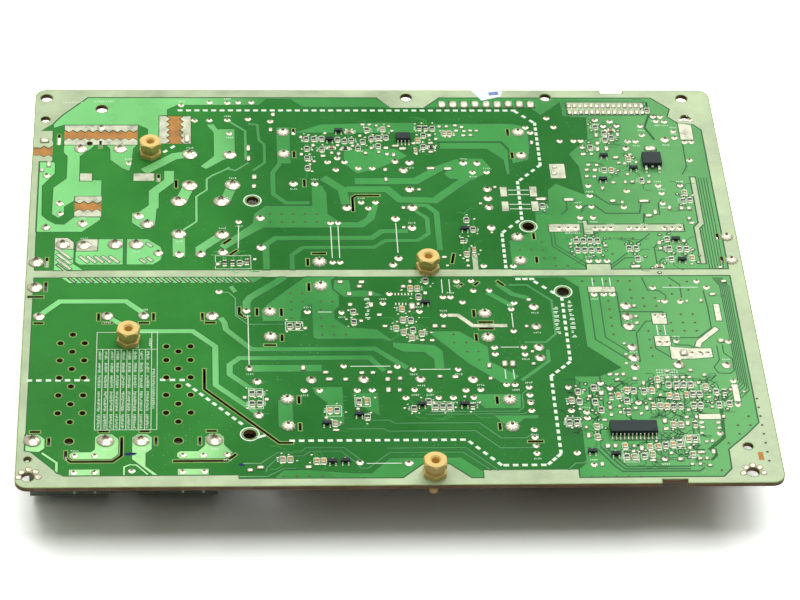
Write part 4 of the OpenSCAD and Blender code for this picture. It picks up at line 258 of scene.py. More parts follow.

# across is a painted sheen: the colour changes over the board to stand in for reflections.
across, given, result = new_group(
    "across", [(label, COLOUR, GREY) for label in ("Corner", "Left", "Middle", "Right")],
    [("Color", COLOUR)])
place = add(across, "ShaderNodeTexCoord").outputs["Object"]
axes = add(across, "ShaderNodeSeparateXYZ", {0: place}).outputs
paint = given["Corner"]
for axis, start, end, label in (("Y", -0.083, -0.072, "Left"), ("X", -0.068, -0.036, "Middle"),
                                ("X", 0.045, 0.105, "Right")):
    share = ranged(across, axes[axis], start, end, interpolation_type="SMOOTHSTEP")
    paint = blend(across, share, paint, given[label])
feed(across, result, {"Color": paint})
print("groups", [g.name for g in bpy.data.node_groups])


# %% [markdown]
# ## Finishes
# A finish is a colour, how rough and how metallic it is, and how much of each shared effect it has.
# The roughness also moves with the mottle, because worn and handled spots gleam differently.

# %% Material maker
def finish(name, colour, rough=0.5, metal=0.0, patches=(0.1, 60), specks=0.0, bump=(900, 0.1, 1.0),
           coat=0.0, rough_swing=0.15, specular=0.5):
    """A Principled material. patches: amount and scale of the mottle. bump: grain scale, strength
    and stretch."""
    material = bpy.data.materials.new(name)
    material.use_nodes = True
    tree = material.node_tree
    patchy = add(tree, "ShaderNodeGroup", {
        "Color": (*colour, 1), "Amount": patches[0], "Scale": patches[1]}, node_tree=mottle).outputs
    paint = patchy["Color"]
    if specks:
        dusty = add(tree, "ShaderNodeGroup", {"Color": paint, "Amount": specks}, node_tree=dust)
        paint = dusty.outputs["Color"]
    grainy = add(tree, "ShaderNodeGroup", {"Scale": bump[0], "Stretch": bump[2]}, node_tree=grain)
    relief = add(tree, "ShaderNodeBump", {
        "Height": grainy.outputs["Height"], "Strength": bump[1], "Distance": 0.0002})
    feed(tree, tree.nodes["Principled BSDF"].inputs, {
        "Base Color": paint, "Metallic": metal, "Coat Weight": coat, "Coat Roughness": 0.12,
        "Specular IOR Level": specular, "Normal": relief.outputs["Normal"],
        "Roughness": ranged(tree, patchy["Mask"], 0.3, 0.7, max(0.03, rough - rough_swing),
                            min(1.0, rough + rough_swing))})
    return material


def wear(names, material):
    """Gives every CAD node in names this material."""
    for name in names.split():
        slots = nodes[name].data.materials
        slots.clear()
        slots.append(material)


def painted_sheen_over_board(material, **colours):
    """Feeds the mottle the painted sheen of the across group, a colour that changes over the board in
    place of reflections. colours: Corner, Left, Middle, Right.
    """
    tree = material.node_tree
    painted_sheen_colour = add(tree, "ShaderNodeGroup", {label: (*colour, 1) for label, colour in colours.items()},
                   node_tree=across)
    patchy = next(n for n in tree.nodes if n.bl_idname == "ShaderNodeGroup" and n.node_tree == mottle)
    feed(tree, patchy.inputs, {"Color": painted_sheen_colour.outputs["Color"]})


def stained_and_shaded(material, share, stain_and_shade_colour):
    """Where the socket share is 0 the base colour becomes the given colour, used here for real stains
    and for painted shade; where it is 1 it stays.
    """
    tree = material.node_tree
    base = tree.nodes["Principled BSDF"].inputs["Base Color"]
    tree.links.new(blend(tree, share, (*stain_and_shade_colour, 1), base.links[0].from_socket), base)


# %% [markdown]
# The laminate is light only on its polished top. Its sawn sides are dark brown of their own, and its
# underside takes the same dark brown as painted shade.

# %% Finishes of the board
laminate_finish = finish("laminate", (0.50, 0.215, 0.045), 0.7, patches=(0.3, 180),
                         bump=(2500, 0.5, 0.2))
mask_finish = finish("green_mask", (0.030, 0.215, 0.030), 0.36, patches=(0.16, 28), specks=0.4,
                     bump=(1400, 0.12, 1), specular=0.09)
copper_finish = finish("green_copper", (0.10, 0.40, 0.115), 0.34, 0.2, patches=(0.10, 24), specks=0.3,
                       bump=(900, 0.16, 1), specular=0.12)
tin_finish = finish("tinned", (0.46, 0.55, 0.35), 0.5, 0.25, patches=(0.2, 70), bump=(500, 0.3, 0.4))
solder_finish = finish("solder", (0.80, 0.76, 0.61), 0.30, 0.35, patches=(0.12, 700),
                       bump=(1500, 0.15, 1))
lead_finish = finish("cut_lead", (0.12, 0.10, 0.07), 0.5, 0.5, patches=(0.3, 600))
print_finish = finish("white_print", (0.78, 0.88, 0.74), 0.6, patches=(0.1, 400), bump=(2500, 0.2, 1))

# Painted sheen: copper and mask are lighter on the left and in the near left corner, darker in the
# middle and on the right.
painted_sheen_over_board(copper_finish, Corner=(0.42, 0.86, 0.36), Left=(0.23, 0.66, 0.23),
           Middle=(0.060, 0.315, 0.075), Right=(0.128, 0.375, 0.130))
painted_sheen_over_board(mask_finish, Corner=(0.036, 0.235, 0.036), Left=(0.034, 0.235, 0.036),
           Middle=(0.022, 0.175, 0.028), Right=(0.024, 0.175, 0.030))
# Every laminate face that doesn't point up takes this brown: real on the sawn sides, painted shade on
# the underside.
SAWN_BROWN_AND_PAINTED_SHADE = (0.16, 0.085, 0.035)
tree = laminate_finish.node_tree
facing = add(tree, "ShaderNodeNewGeometry").outputs["Normal"]
upright = add(tree, "ShaderNodeSeparateXYZ", {0: facing}).outputs["Z"]
stained_and_shaded(laminate_finish, maths(tree, "GREATER_THAN", upright, 0.5), SAWN_BROWN_AND_PAINTED_SHADE)
wear("laminate", laminate_finish)
wear("solder_mask", mask_finish)
wear("masked_copper", copper_finish)
wear("tinned_copper", tin_finish)
wear("solder_joints lobed_joints solder_mounds chip_ends", solder_finish)
wear("lead_tips", lead_finish)
wear("isolation_line board_print", print_finish)
wear("sticker", finish("paper_slip", (0.86, 0.88, 0.93), 0.8, patches=(0.05, 200), bump=(1500, 0.3, 1)))

# %% Finishes of the parts
black = finish("black_moulding", (0.022, 0.034, 0.036), 0.5, patches=(0.2, 300), bump=(3000, 0.3, 1),
               specular=0.25)
wear("chip_resistors", finish("black_glaze", (0.035, 0.040, 0.042), 0.3, patches=(0.4, 400)))
wear("ceramic_chips", finish("tan_ceramic", (0.36, 0.25, 0.13), 0.45, patches=(0.25, 400)))
wear("coated_chips", finish("orange_coat", (0.55, 0.26, 0.06), 0.4, patches=(0.25, 400)))
wear("transistor_bodies controller_body driver_body power_body device_bodies bridge_rectifier "
     "opto_couplers", black)
# Their grey-green is painted shade: the tone of the shade under the near edge, not the parts' own
# colour.
wear("filter_bases transformer_bobbins",
     finish("painted_shade_grey", (0.12, 0.14, 0.115), 0.55, patches=(0.2, 120)))
plated = finish("plated_legs", (0.86, 0.83, 0.70), 0.34, 0.5, patches=(0.12, 500))
wear("package_leads power_tab device_tabs device_leads fuse_clips wire_links", plated)
wear("pfc_heatsink bridge_heatsink standby_heatsink inverter_heatsink rectifier_heatsink",
     finish("sheet_aluminium", (0.70, 0.71, 0.72), 0.36, 0.95, patches=(0.06, 60),
            bump=(1200, 0.35, 0.06)))
wear("main_core standby_core drive_cores filter_cores boost_core",
     finish("ferrite", (0.045, 0.045, 0.05), 0.62, 0.1, patches=(0.25, 260), bump=(1800, 0.6, 1)))
# The lamp cores' grey-green is painted shade: the tone of the shade under the near-left edge, lighter
# than ferrite.
wear("lamp_cores",
     finish("painted_shade_ferrite", (0.24, 0.28, 0.22), 0.5, patches=(0.25, 260), bump=(1800, 0.4, 1)))
wear("transformer_windings boost_winding",
     finish("yellow_tape", (0.72, 0.42, 0.04), 0.35, patches=(0.12, 80), bump=(700, 0.25, 0.1),
            coat=0.2))
wear("film_capacitors",
     finish("grey_box", (0.52, 0.51, 0.46), 0.4, patches=(0.06, 90), bump=(2200, 0.2, 1)))
wear("bulk_capacitors small_capacitors",
     finish("dark_sleeve", (0.025, 0.03, 0.045), 0.28, patches=(0.15, 90)))
wear("disc_parts", finish("blue_dip", (0.03, 0.11, 0.32), 0.35, patches=(0.15, 200), bump=(900, 0.3, 1)))
wear("filter_windings", finish("copper_wire", (0.52, 0.20, 0.07), 0.3, 0.8, patches=(0.15, 300)))
wear("mains_connector output_connector signal_connector lamp_connectors",
     finish("ivory_nylon", (0.80, 0.76, 0.64), 0.45, patches=(0.05, 90), bump=(2500, 0.2, 1)))
spacer_finish = finish("tan_nylon", (0.85, 0.60, 0.20), 0.6, patches=(0.08, 240), bump=(900, 0.2, 1))
wear("spacer_far spacer_middle spacer_left spacer_near spacer_nuts", spacer_finish)
glass = finish("fuse_glass", (0.9, 0.93, 0.93), 0.08, patches=(0.02, 90), bump=(300, 0.05, 1))
glass.node_tree.nodes["Principled BSDF"].inputs["Transmission Weight"].default_value = 1.0
wear("fuse_tube", glass)
print("materials", len(bpy.data.materials))

# %% [markdown]
# ## The white sweep
# The floor is a matt sheet. To the rays that see the background it is brighter than to the light that
# bounces off it, so open floor reaches plain white and the shadow under the board keeps its depth.

# %% Floor finish
SWEEP_SEEN, SWEEP_BOUNCE = 1.9, 0.4
sweep = bpy.data.materials.new("white_sweep")
sweep.use_nodes = True
tree = sweep.node_tree
tree.nodes.clear()
lit_sheet, seen_sheet = (
    add(tree, "ShaderNodeBsdfDiffuse", {"Color": (level, level, level, 1)}).outputs[0]
    for level in (SWEEP_BOUNCE, SWEEP_SEEN))
sheet = add(tree, "ShaderNodeMixShader", {"Fac": backdrop_rays(tree), 1: lit_sheet, 2: seen_sheet})
add(tree, "ShaderNodeOutputMaterial", {"Surface": sheet.outputs[0]})
floor.data.materials.append(sweep)

# %% [markdown]
# ## Where the joints are
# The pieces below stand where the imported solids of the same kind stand. A node's mesh is loose
# triangles, so its points are merged first. Then every triangle hands the lowest number among its
# corners to all three, again and again, until each separate solid carries one number.

# %% Boxes of the separate solids
def merged(name):
    """Points and triangles of a CAD node, with equal points merged into one."""
    mesh = nodes[name].data
    co = np.empty(len(mesh.vertices) * 3)
    mesh.vertices.foreach_get("co", co)
    mesh.calc_loop_triangles()
    tri = np.empty(len(mesh.loop_triangles) * 3, dtype=np.int32)
    mesh.loop_triangles.foreach_get("vertices", tri)
    points, same = np.unique(np.round(co.reshape(-1, 3), 6), axis=0, return_inverse=True)
    return points, same.ravel()[tri].reshape(-1, 3)


def labels(points, tri):
    """A number for every point, the same over each connected surface. Repeats until nothing changes:
    label = the smallest label among the corners of every triangle that the point belongs to."""
    label = np.arange(len(points))
    while True:
        lowest = label[tri].min(axis=1)
        spread_on = label.copy()
        np.minimum.at(spread_on, tri.ravel(), np.repeat(lowest, 3))
        spread_on = spread_on[spread_on]
        if (spread_on == label).all():
            return label
        label = spread_on


def boxes(points, tri):
    """Low and high corners of each separate solid, one row a solid, and every point's row."""
    kinds, row = np.unique(labels(points, tri), return_inverse=True)
    row = row.ravel()
    low = np.full((len(kinds), 3), np.inf)
    high = np.full((len(kinds), 3), -np.inf)
    np.minimum.at(low, row, points)
    np.maximum.at(high, row, points)
    return low, high, row


def islands(names):
    """Low and high corners of each separate solid of the CAD nodes in names."""
    low, high = zip(*(boxes(*merged(name))[:2] for name in names.split()))
    return np.concatenate(low), np.concatenate(high)


def nearest_row(points, others):
    """For each row of points, the number of the nearest row of others, as seen from above."""
    return np.linalg.norm(points[:, None, :2] - others[None, :, :2], axis=2).argmin(axis=1)


joint_low, joint_high = islands("solder_joints")


# %% [markdown]
# ## Making many small pieces at once
# A pattern piece is a few dozen points and faces around the origin. Copies of it are one array
# sum: every copy's points are the pattern's, scaled, turned about the upright and moved. All the
# copies become one mesh, which is far lighter than hundreds of objects.

# %% Helpers for meshes
def make_piece(name, pattern, material, smooth=True):
    """One mesh object from a pattern, which is (points, faces); it rides on the board."""
    points, faces = pattern
    mesh = bpy.data.meshes.new(name)
    mesh.from_pydata(np.asarray(points).tolist(), [], [list(f) for f in faces])
    mesh.update()
    mesh.polygons.foreach_set("use_smooth", [smooth] * len(mesh.polygons))
    mesh.materials.append(material)
    piece = bpy.data.objects.new(name, mesh)
    scene.collection.objects.link(piece)
    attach(piece, "root")
    return piece


def tube_faces(rings, n):
    """Faces of a stack of rings of n points: the foot, the walls between the rings, and the top."""
    i = np.arange(n)
    j = (i + 1) % n
    faces = [tuple(i[::-1])]
    for k in range(rings - 1):
        faces += np.stack([k * n + i, k * n + j, (k + 1) * n + j, (k + 1) * n + i], axis=1).tolist()
    return faces + [tuple((rings - 1) * n + i)]


def turned(profile, n):
    """A closed surface of revolution. profile rows are (radius, height) from the foot up; n is the
    number of steps round. Point = (radius cos a, radius sin a, height); the foot is one flat face."""
    profile = np.asarray(profile, float)
    a = np.arange(n) * 2 * np.pi / n
    ring = np.stack([np.cos(a), np.sin(a)], axis=1)
    points = np.concatenate([
        np.concatenate([r * ring, np.full((n, 1), z)], axis=1) for r, z in profile])
    return points, tube_faces(len(profile), n)


def copies(points, faces, place, scale, angle):
    """Copies of a pattern: point = turn(angle) * (scale * pattern point) + place, a copy for each
    row of place."""
    place, scale = np.asarray(place, float), np.asarray(scale, float)
    angle = np.broadcast_to(np.asarray(angle, float), len(place))
    p = points[None] * scale[:, None, :]
    c, s = np.cos(angle)[:, None], np.sin(angle)[:, None]
    moved = np.stack([c * p[..., 0] - s * p[..., 1], s * p[..., 0] + c * p[..., 1], p[..., 2]], axis=2)
    moved += place[:, None, :]
    step = len(points)
    many = [tuple(v + k * step for v in f) for k in range(len(place)) for f in faces]
    return moved.reshape(-1, 3), many


def middle(low, high):
    """Foot centres and footprints of boxes."""
    centre = (low + high) / 2
    centre[:, 2] = low[:, 2]
    return centre, high - low


def on_board(xy):
    """The same places with a third column: the top of the board."""
    return np.column_stack([xy, np.full(len(xy), TOP)])


# %% [markdown]
# ## Solder joints
# Molten solder wets the land and climbs the lead. A wave leaves a low mound that stands up from the
# land's edge, swells, and ends at the cut lead. Joints are never quite round: each copy gets its
# own height, and its radius swells and shrinks twice round the turn. The lead leans to the far
# side. Next to the lead the solder is painted brown, partly for flux and partly as painted shade, so
# every point carries its distance from the lead for the material to read.

# %% Solder joints
LEAN = 0.20
ROUND = 14
BIG_JOINT = 1.3 * MM
u = np.array([1.0, 0.985, 0.9, 0.78, 0.62, 0.46, 0.32, 0.2, 0.1])
swell_up = 0.10 * (u < 1) + 0.62 * (1 - u ** 2) ** 0.9 + 0.42 * np.exp(-(u / 0.22) ** 2)
cone_points, cone_faces = turned(np.stack([u, swell_up], axis=1), ROUND)
reach = np.hypot(cone_points[:, 0], cone_points[:, 1])
swell = 1 + 0.05 * np.cos(2 * np.arctan2(cone_points[:, 1], cone_points[:, 0]) + 0.7)
cone_points[:, :2] *= swell[:, None]
cone_points[:, 1] += LEAN * (1 - reach)
joint_foot, size = middle(joint_low, joint_high)
joint_mid, joint_r = joint_foot[:, :2], size[:, 0] / 2
joint_top = (joint_r * rng.uniform(0.26, 0.42, len(joint_r))
             * np.where(joint_r > BIG_JOINT, 1.5, 1.15))
joint_finish = finish("joint_solder", (0.72, 0.67, 0.52), 0.22, 0.5, patches=(0.12, 700),
                      bump=(1500, 0.15, 1))
joints = make_piece("joints", copies(cone_points, cone_faces, joint_foot,
                                     np.stack([joint_r, joint_r, joint_top], 1),
                                     rng.uniform(-0.5, 0.5, len(joint_r))),
                    joint_finish)
distance = joints.data.attributes.new("reach", "FLOAT", "POINT")
distance.data.foreach_set("value", np.tile(reach, len(joint_r)))
tree = joint_finish.node_tree
from_lead = add(tree, "ShaderNodeAttribute", attribute_name="reach").outputs["Fac"]
# Brown next to the lead: flux, and painted shade round the lead.
FLUX_AND_PAINTED_SHADE_BROWN = (0.10, 0.075, 0.04)
stained_and_shaded(joint_finish, ranged(tree, from_lead, 0.10, 0.55), FLUX_AND_PAINTED_SHADE_BROWN)
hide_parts("solder_joints")

# %% [markdown]
# ## Lobed joints
# The feet of the heatsinks sit in wide holes whose lands are cut into petals, so that they can be
# heated. The solder stands up on each petal and sinks between them: its height is a dome times a
# ripple with ten crests round the turn.

# %% Lobed joints
PETALS, AROUND = 10, 60
lobe_low, lobe_high = islands("lobed_joints")
lobe_foot, size = middle(lobe_low, lobe_high)
lobe_r = size[:, 0] / 2
a = np.arange(AROUND) * 2 * np.pi / AROUND
ripple = 0.5 + 0.5 * np.cos(PETALS * a)
rings = []
for u in (1.0, 0.98, 0.9, 0.75, 0.6, 0.45, 0.3, 0.14):
    edge = (0.84 + 0.16 * ripple) * u
    crest = 0.25 * ripple * np.exp(-((u - 0.78) / 0.14) ** 2)
    dome = 0.0 if u == 1.0 else (1 - u ** 2) * 0.8 + crest + 0.04
    rings.append(np.stack([edge * np.cos(a), edge * np.sin(a), np.zeros(AROUND) + dome], axis=1))
petals = make_piece("petal_joints", copies(np.concatenate(rings), tube_faces(len(rings), AROUND),
                                           lobe_foot, np.stack([lobe_r, lobe_r, lobe_r * 0.5], 1),
                                           rng.uniform(0, 6.28, len(lobe_r))),
                    solder_finish)
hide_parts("lobed_joints")
print("petal joints", len(lobe_r))

# %% [markdown]
# ## Mounds and end caps
# Solder on a bare land draws itself up into a pillow: the height falls off towards each side as
# one minus the distance to a high power. At a chip's ends it wets the cap and runs down to the
# land in a short concave slope.

# %% Solder mounds
u = np.linspace(-1, 1, 6)
gx, gy = np.meshgrid(u, u, indexing="ij")
gz = (1 - np.abs(gx) ** 3) * (1 - np.abs(gy) ** 3)
pinch = 1 - 0.10 * np.abs(gx * gy)
pillow = np.stack([gx * pinch / 2, gy * pinch / 2, gz], axis=2).reshape(-1, 3)
n = len(u)
k = (np.arange(n - 1)[:, None] * n + np.arange(n - 1)).ravel()
quads = np.stack([k, k + n, k + n + 1, k + 1], axis=1).tolist()
rim = ([i * n for i in range(n)] + [(n - 1) * n + i for i in range(1, n)]
       + [i * n + n - 1 for i in range(n - 2, -1, -1)] + list(range(n - 2, 0, -1)))
pillow_faces = quads + [tuple(rim[::-1])]


def pillows(name, place, size, angle):
    """Pillows of solder: one for each row of place, with full sizes size, turned by angle."""
    print(name, len(place))
    return make_piece(name, copies(pillow, pillow_faces, place, size, angle), solder_finish)


mound_low, mound_high = islands("solder_mounds")
mound_foot, size = middle(mound_low, mound_high)
lift = np.minimum(size[:, 0], size[:, 1]) * rng.uniform(0.18, 0.34, len(size))
mounds = pillows("mounds", mound_foot, np.stack([size[:, 0], size[:, 1], lift], 1), 0.0)
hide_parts("solder_mounds")

# %% Chip end caps with their fillets
body_low, body_high = islands("chip_resistors ceramic_chips coated_chips")
body_mid = (body_low + body_high) / 2
cap_low, cap_high = islands("chip_ends")
cap_foot = middle(cap_low, cap_high)[0]
owner = nearest_row(cap_foot, body_mid)
away = cap_foot[:, :2] - body_mid[owner][:, :2]
angle = np.arctan2(away[:, 1], away[:, 0]) - np.pi / 2
section = np.array([[-0.21, 0.0], [-0.21, 0.54], [0.17, 0.56], [0.25, 0.48], [0.31, 0.26], [0.45, 0.10],
                    [0.72, 0.03], [0.78, 0.0]])
CAP_HALF_WIDTH = 0.66
cap = np.concatenate([np.insert(section, 0, side * CAP_HALF_WIDTH, axis=1) for side in (-1, 1)]) * MM
m = len(section)
cap_faces = [tuple(range(m)), tuple(range(2 * m - 1, m - 1, -1))]
cap_faces += [(q, m + q, m + (q + 1) % m, (q + 1) % m) for q in range(m)]
caps = make_piece("chip_caps", copies(cap, cap_faces, cap_foot, np.ones((len(cap_foot), 3)), angle),
                  solder_finish, smooth=False)
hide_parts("chip_ends")
print("caps", len(caps.data.polygons), "faces")


# %% [markdown]
# ## The step at the edge of the copper
# Copper is a thirty-fifth of a millimetre thick and the mask thins out over its edge, so every track
# has a fine dark outline: partly thin mask, and partly painted shade of the step at its edge. Each
# outline is a closed ring with a three-cornered section. It runs along the top edges that belong to
# one triangle only, with mitred corners.

# %% Outlines of a flat film
def outline(name, z):
    """Top outline of a film: its points, and each edge as a pair of rows with the film on its left.
    An edge is on the outline when no triangle of the top face runs along it the other way."""
    points, tri = merged(name)
    top = tri[(np.abs(points[tri][:, :, 2] - z) < 1e-5).all(axis=1)]
    pair = np.concatenate([top[:, [0, 1]], top[:, [1, 2]], top[:, [2, 0]]])
    key = pair[:, 0] * len(points) + pair[:, 1]
    back = pair[:, 1] * len(points) + pair[:, 0]
    return points, pair[~np.isin(key, back)]


def grid_key(points):
    """One whole number for each point: x and y in micrometres, put side by side."""
    grid = np.round(points[:, :2] * 1e6).astype(np.int64)
    return grid[:, 0] * 10 ** 7 + grid[:, 1]


SHEET_TOP = UNDER + 1.5 * MM
sheet_points, sheet_pair = outline("laminate", SHEET_TOP)
cut_keys = grid_key(sheet_points[np.unique(sheet_pair)])
sheet_low, sheet_high = sheet_points[:, :2].min(axis=0), sheet_points[:, :2].max(axis=0)


def ring_piece(name, films, inner, outer, height, material):
    """Closed rings along the outlines of films. Section: (inside, up), (outside, foot), (inside, foot).
    At a corner the offset is the mean of the two edge normals, divided by the cosine between them.
    Where a film ends with the laminate, the ring doesn't reach over the edge."""
    all_points, all_faces, count = [], [], 0
    for film, z in films:
        points, pair = outline(film, z)
        used, row = np.unique(pair, return_inverse=True)
        row = row.reshape(-1, 2)
        p = points[used][:, :2]
        along = p[row[:, 1]] - p[row[:, 0]]
        along /= np.linalg.norm(along, axis=1)[:, None] + 1e-12
        normal = np.stack([along[:, 1], -along[:, 0]], axis=1)
        total = np.zeros_like(p)
        np.add.at(total, row[:, 0], normal)
        np.add.at(total, row[:, 1], normal)
        length = np.linalg.norm(total, axis=1)[:, None] + 1e-9
        out = total / length * np.minimum(2 / length, 1.6)
        reach_over = np.where(np.isin(grid_key(p), cut_keys), 0.0, outer)[:, None]
        rings = [(-inner, height), (reach_over, 0.0), (-inner, 0.0)]
        layers = [np.column_stack([np.clip(p + d * out, sheet_low, sheet_high),
                                   np.full(len(p), TOP + up)]) for d, up in rings]
        a, b, n = row[:, 0] + count, row[:, 1] + count, len(p)
        for k in range(3):
            lo, hi = k * n, (k + 1) % 3 * n
            all_faces += np.stack([a + lo, a + hi, b + hi, b + lo], axis=1).tolist()
        all_points += layers
        count += 3 * n
    print(name, len(all_faces), "faces")
    return make_piece(name, (np.concatenate(all_points), all_faces), material, smooth=False)


# %% Dark outlines of the copper and the tin
# The dark green is thin mask over the edge, together with painted shade of the copper's step.
edge_mask_and_shade_finish = finish("thin_mask_and_painted_shade", (0.018, 0.105, 0.030), 0.42, patches=(0.2, 200), bump=(2000, 0.2, 1),
                     specular=0.3)
ring_piece("copper_outlines", [("masked_copper", TOP), ("tinned_copper", TOP)],
           0.02 * MM, 0.26 * MM, 0.02 * MM, edge_mask_and_shade_finish)

# %% [markdown]
# Round every hole and slot, and along the sawn sides, the mask is held back from the edge. The
# laminate shows there as a narrow yellow-green rim.

# %% Rims of the holes
rim_finish = finish("bare_rim", (0.26, 0.40, 0.10), 0.6, patches=(0.3, 300), bump=(2000, 0.3, 1))
ring_piece("hole_rims", [("laminate", SHEET_TOP)], 0.32 * MM, 0.0, 0.014 * MM, rim_finish)

# %% [markdown]
# ## Lead ends
# Leads are cut after soldering. What shows is a small dull end that just clears the mound, a little
# to the far side, because leads are bent over before the board goes through the wave.

# %% Lead ends
all_foot = np.concatenate([joint_foot, lobe_foot])
all_radius = np.concatenate([joint_r, lobe_r])
all_top = np.concatenate([joint_top * 1.14, lobe_r * 0.5])
foot, size = middle(*islands("lead_tips"))
near = nearest_row(foot, all_foot)
lead_r = np.maximum(size[:, 0] * 0.38, 0.24 * MM)
lead_h = all_top[near] * 0.5 + 0.12 * MM
foot[:, 1] += all_radius[near] * LEAN
foot[:, 2] = TOP + all_top[near] * 0.5
lead_points, lead_faces = turned([[1.0, 0.0], [1.0, 0.82], [0.8, 1.0]], 8)
leads = make_piece("lead_ends", copies(lead_points, lead_faces, foot,
                                       np.stack([lead_r, lead_r, lead_h], 1), 0.2),
                   lead_finish, smooth=False)
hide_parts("lead_tips")
print("lead ends", len(lead_r))

# %% [markdown]
# ## Vias
# Where a plane of copper has to be vented or probed, rows of small plated holes go through it. From
# this side each is a solid disc with a shallow dimple and a slightly raised collar, painted dark
# brown all over: the dark is painted shade inside the hole.

# %% Vias
def row_of(x, y, dx, dy, n):
    """n places from (x, y), each (dx, dy) further, in millimetres."""
    k = np.arange(n)[:, None]
    return np.array([[x, y]]) + k * np.array([[dx, dy]])


via_rows = [
    (-38.6, 30.9, 3.95, 0, 5), (-38.6, 26.7, 3.95, 0, 5), (-32.7, -9.6, 3.9, 0, 2),
    (-32.6, -13.8, 3.8, 0, 2), (-22.9, -13.8, 3.9, 0, 2), (-32.6, -17.8, 9.7, 0, 2),
    (-32.6, -21.8, 9.7, 0, 2), (-22.9, -25.9, 3.9, 0, 2), (-22.9, -30, 3.9, 0, 3),
    (20, -30, 0, -4, 2), (24, -34, 0, -4.4, 2), (27.6, -38.4, 0, -4, 2), (72.6, -14, 0, -4.1, 5),
    (64.8, -4, 4, 0, 5), (80.5, -8.4, 0, -4.2, 2), (84.3, -12.6, 0, -4, 2), (88.3, -12.6, 0, -4, 2),
    (94.2, -6.4, 0, -4.2, 2), (100, -4.4, 0, -4.2, 2), (96, -20.7, 4, 0, 2), (92.2, -24.8, 4, 0, 3),
    (84.3, -28.8, 4, 0, 5), (84.3, -33, 0, -4, 3), (76.4, 18, 4, 0, 3), (76.4, 9.7, 4, 0, 1),
    (53, 16, 4, 0, 1), (45.3, 12, 3.9, 0, 3), (53, 7.8, 3.7, 0, 2), (56.7, 3.7, 4, 0, 2),
    (-37, -95, 4, 0, 4), (59, -96.2, 3.9, 0, 5), (100.2, -93.7, 4, 0, 1), (104, -81.6, 4, 0, 1),
    (108, -73.5, 4, 0, 2), (108, -77.4, 4, 0, 1), (112, -69.4, 4, 0, 1), (115.8, -61.3, 0, -4.05, 8),
]
places = on_board(np.concatenate([row_of(*r) for r in via_rows]) * MM)
via_points, via_faces = turned([[0.46, 0.0], [0.44, 0.03], [0.30, 0.035], [0.22, 0.012]], 8)
# The dark brown of the vias is painted shade of the holes, on solid discs.
make_piece("vias", copies(via_points * MM, via_faces, places, np.ones((len(places), 3)), 0.0),
           finish("via_painted_hole_shade", (0.085, 0.050, 0.022), 0.5, patches=(0.3, 500)),
           smooth=False)
print("vias", len(places))

# %% [markdown]
# ## Printed marks
# White ink is screened on last. Every chip has a thin frame round it and a short row of marks beside
# it; many joints have one too. Here each mark is a pair of upright ticks of chance height, so the rows
# have the grain of print from a step away and say nothing close by.

# %% Printed bars
PRINT_HEIGHT = 0.02 * MM
bar = np.array([[-1, -1, 0], [1, -1, 0], [1, 1, 0], [-1, 1, 0],
                [-0.9, -0.9, 1], [0.9, -0.9, 1], [0.9, 0.9, 1], [-0.9, 0.9, 1]], float)
bar_faces = [(3, 2, 1, 0), (4, 5, 6, 7), (0, 1, 5, 4), (1, 2, 6, 5), (2, 3, 7, 6), (3, 0, 4, 7)]


def bars(name, centre, half, angle, slot, material, height=PRINT_HEIGHT):
    """Thin plates on the board: one for each row of centre, with half sizes half, turned by angle."""
    scale = np.column_stack([half, np.full(len(half), height)])
    print(name, len(centre))
    return make_piece(name, copies(bar, bar_faces, on_board(centre), scale, angle), material,
                      smooth=False)


def joined(parts):
    """The first, second and third arrays of all parts, each set put end to end."""
    return (np.concatenate(part) for part in zip(*parts))


def frames(low, high, gap, line):
    """Four bars round each rectangle low..high, gap away from it and 2 * line wide."""
    mid, half = (low + high) / 2, (high - low) / 2 + gap
    sides = []
    for axis in (0, 1):
        for sign in (-1, 1):
            centre = mid.copy()
            centre[:, axis] += sign * half[:, axis]
            size = np.full_like(half, line)
            size[:, 1 - axis] = half[:, 1 - axis] + line
            sides.append((centre, size))
    return joined(sides)


def mark_rows(start, step, n, tall):
    """Rows of ticks: n places from start, step apart, each with two upright ticks a third of a step
    apart. Centre = start + (k +- 1/6) * step + shift * across; half heights are random parts of tall."""
    along = step / np.linalg.norm(step, axis=1)[:, None]
    across = np.stack([-along[:, 1], along[:, 0]], axis=1)
    k = np.arange(n)[None, :, None] + np.array([-1, 1])[:, None, None, None] / 6
    centre = start[None, :, None, :] + k * step[None, :, None, :]
    half = rng.uniform(0.16, 0.46, centre.shape[:3]) * tall
    shift = rng.uniform(-1, 1, half.shape) * (0.46 * tall - half)
    centre = centre + shift[..., None] * across[None, :, None, :]
    thick = np.full(half.size, 0.105 * np.linalg.norm(step, axis=1).mean())
    heading = np.broadcast_to(np.arctan2(across[:, 1], across[:, 0])[None, :, None], half.shape)
    return centre.reshape(-1, 2), np.column_stack([half.ravel(), thick]), heading.ravel()


# %% [markdown]
# A chip's frame has to clear its solder caps, so each chip's box is first stretched over the caps it
# owns.

# %% Frames round the chips
chip_low, chip_high = body_low[:, :2].copy(), body_high[:, :2].copy()
np.minimum.at(chip_low, owner, cap_low[:, :2])
np.maximum.at(chip_high, owner, cap_high[:, :2])
chosen = rng.random(len(chip_low)) < 0.92
frame_centre, frame_half = frames(chip_low[chosen], chip_high[chosen], 0.24 * MM, 0.09 * MM)
bars("chip_frames", frame_centre, frame_half, 0.0, "board_print", print_finish)

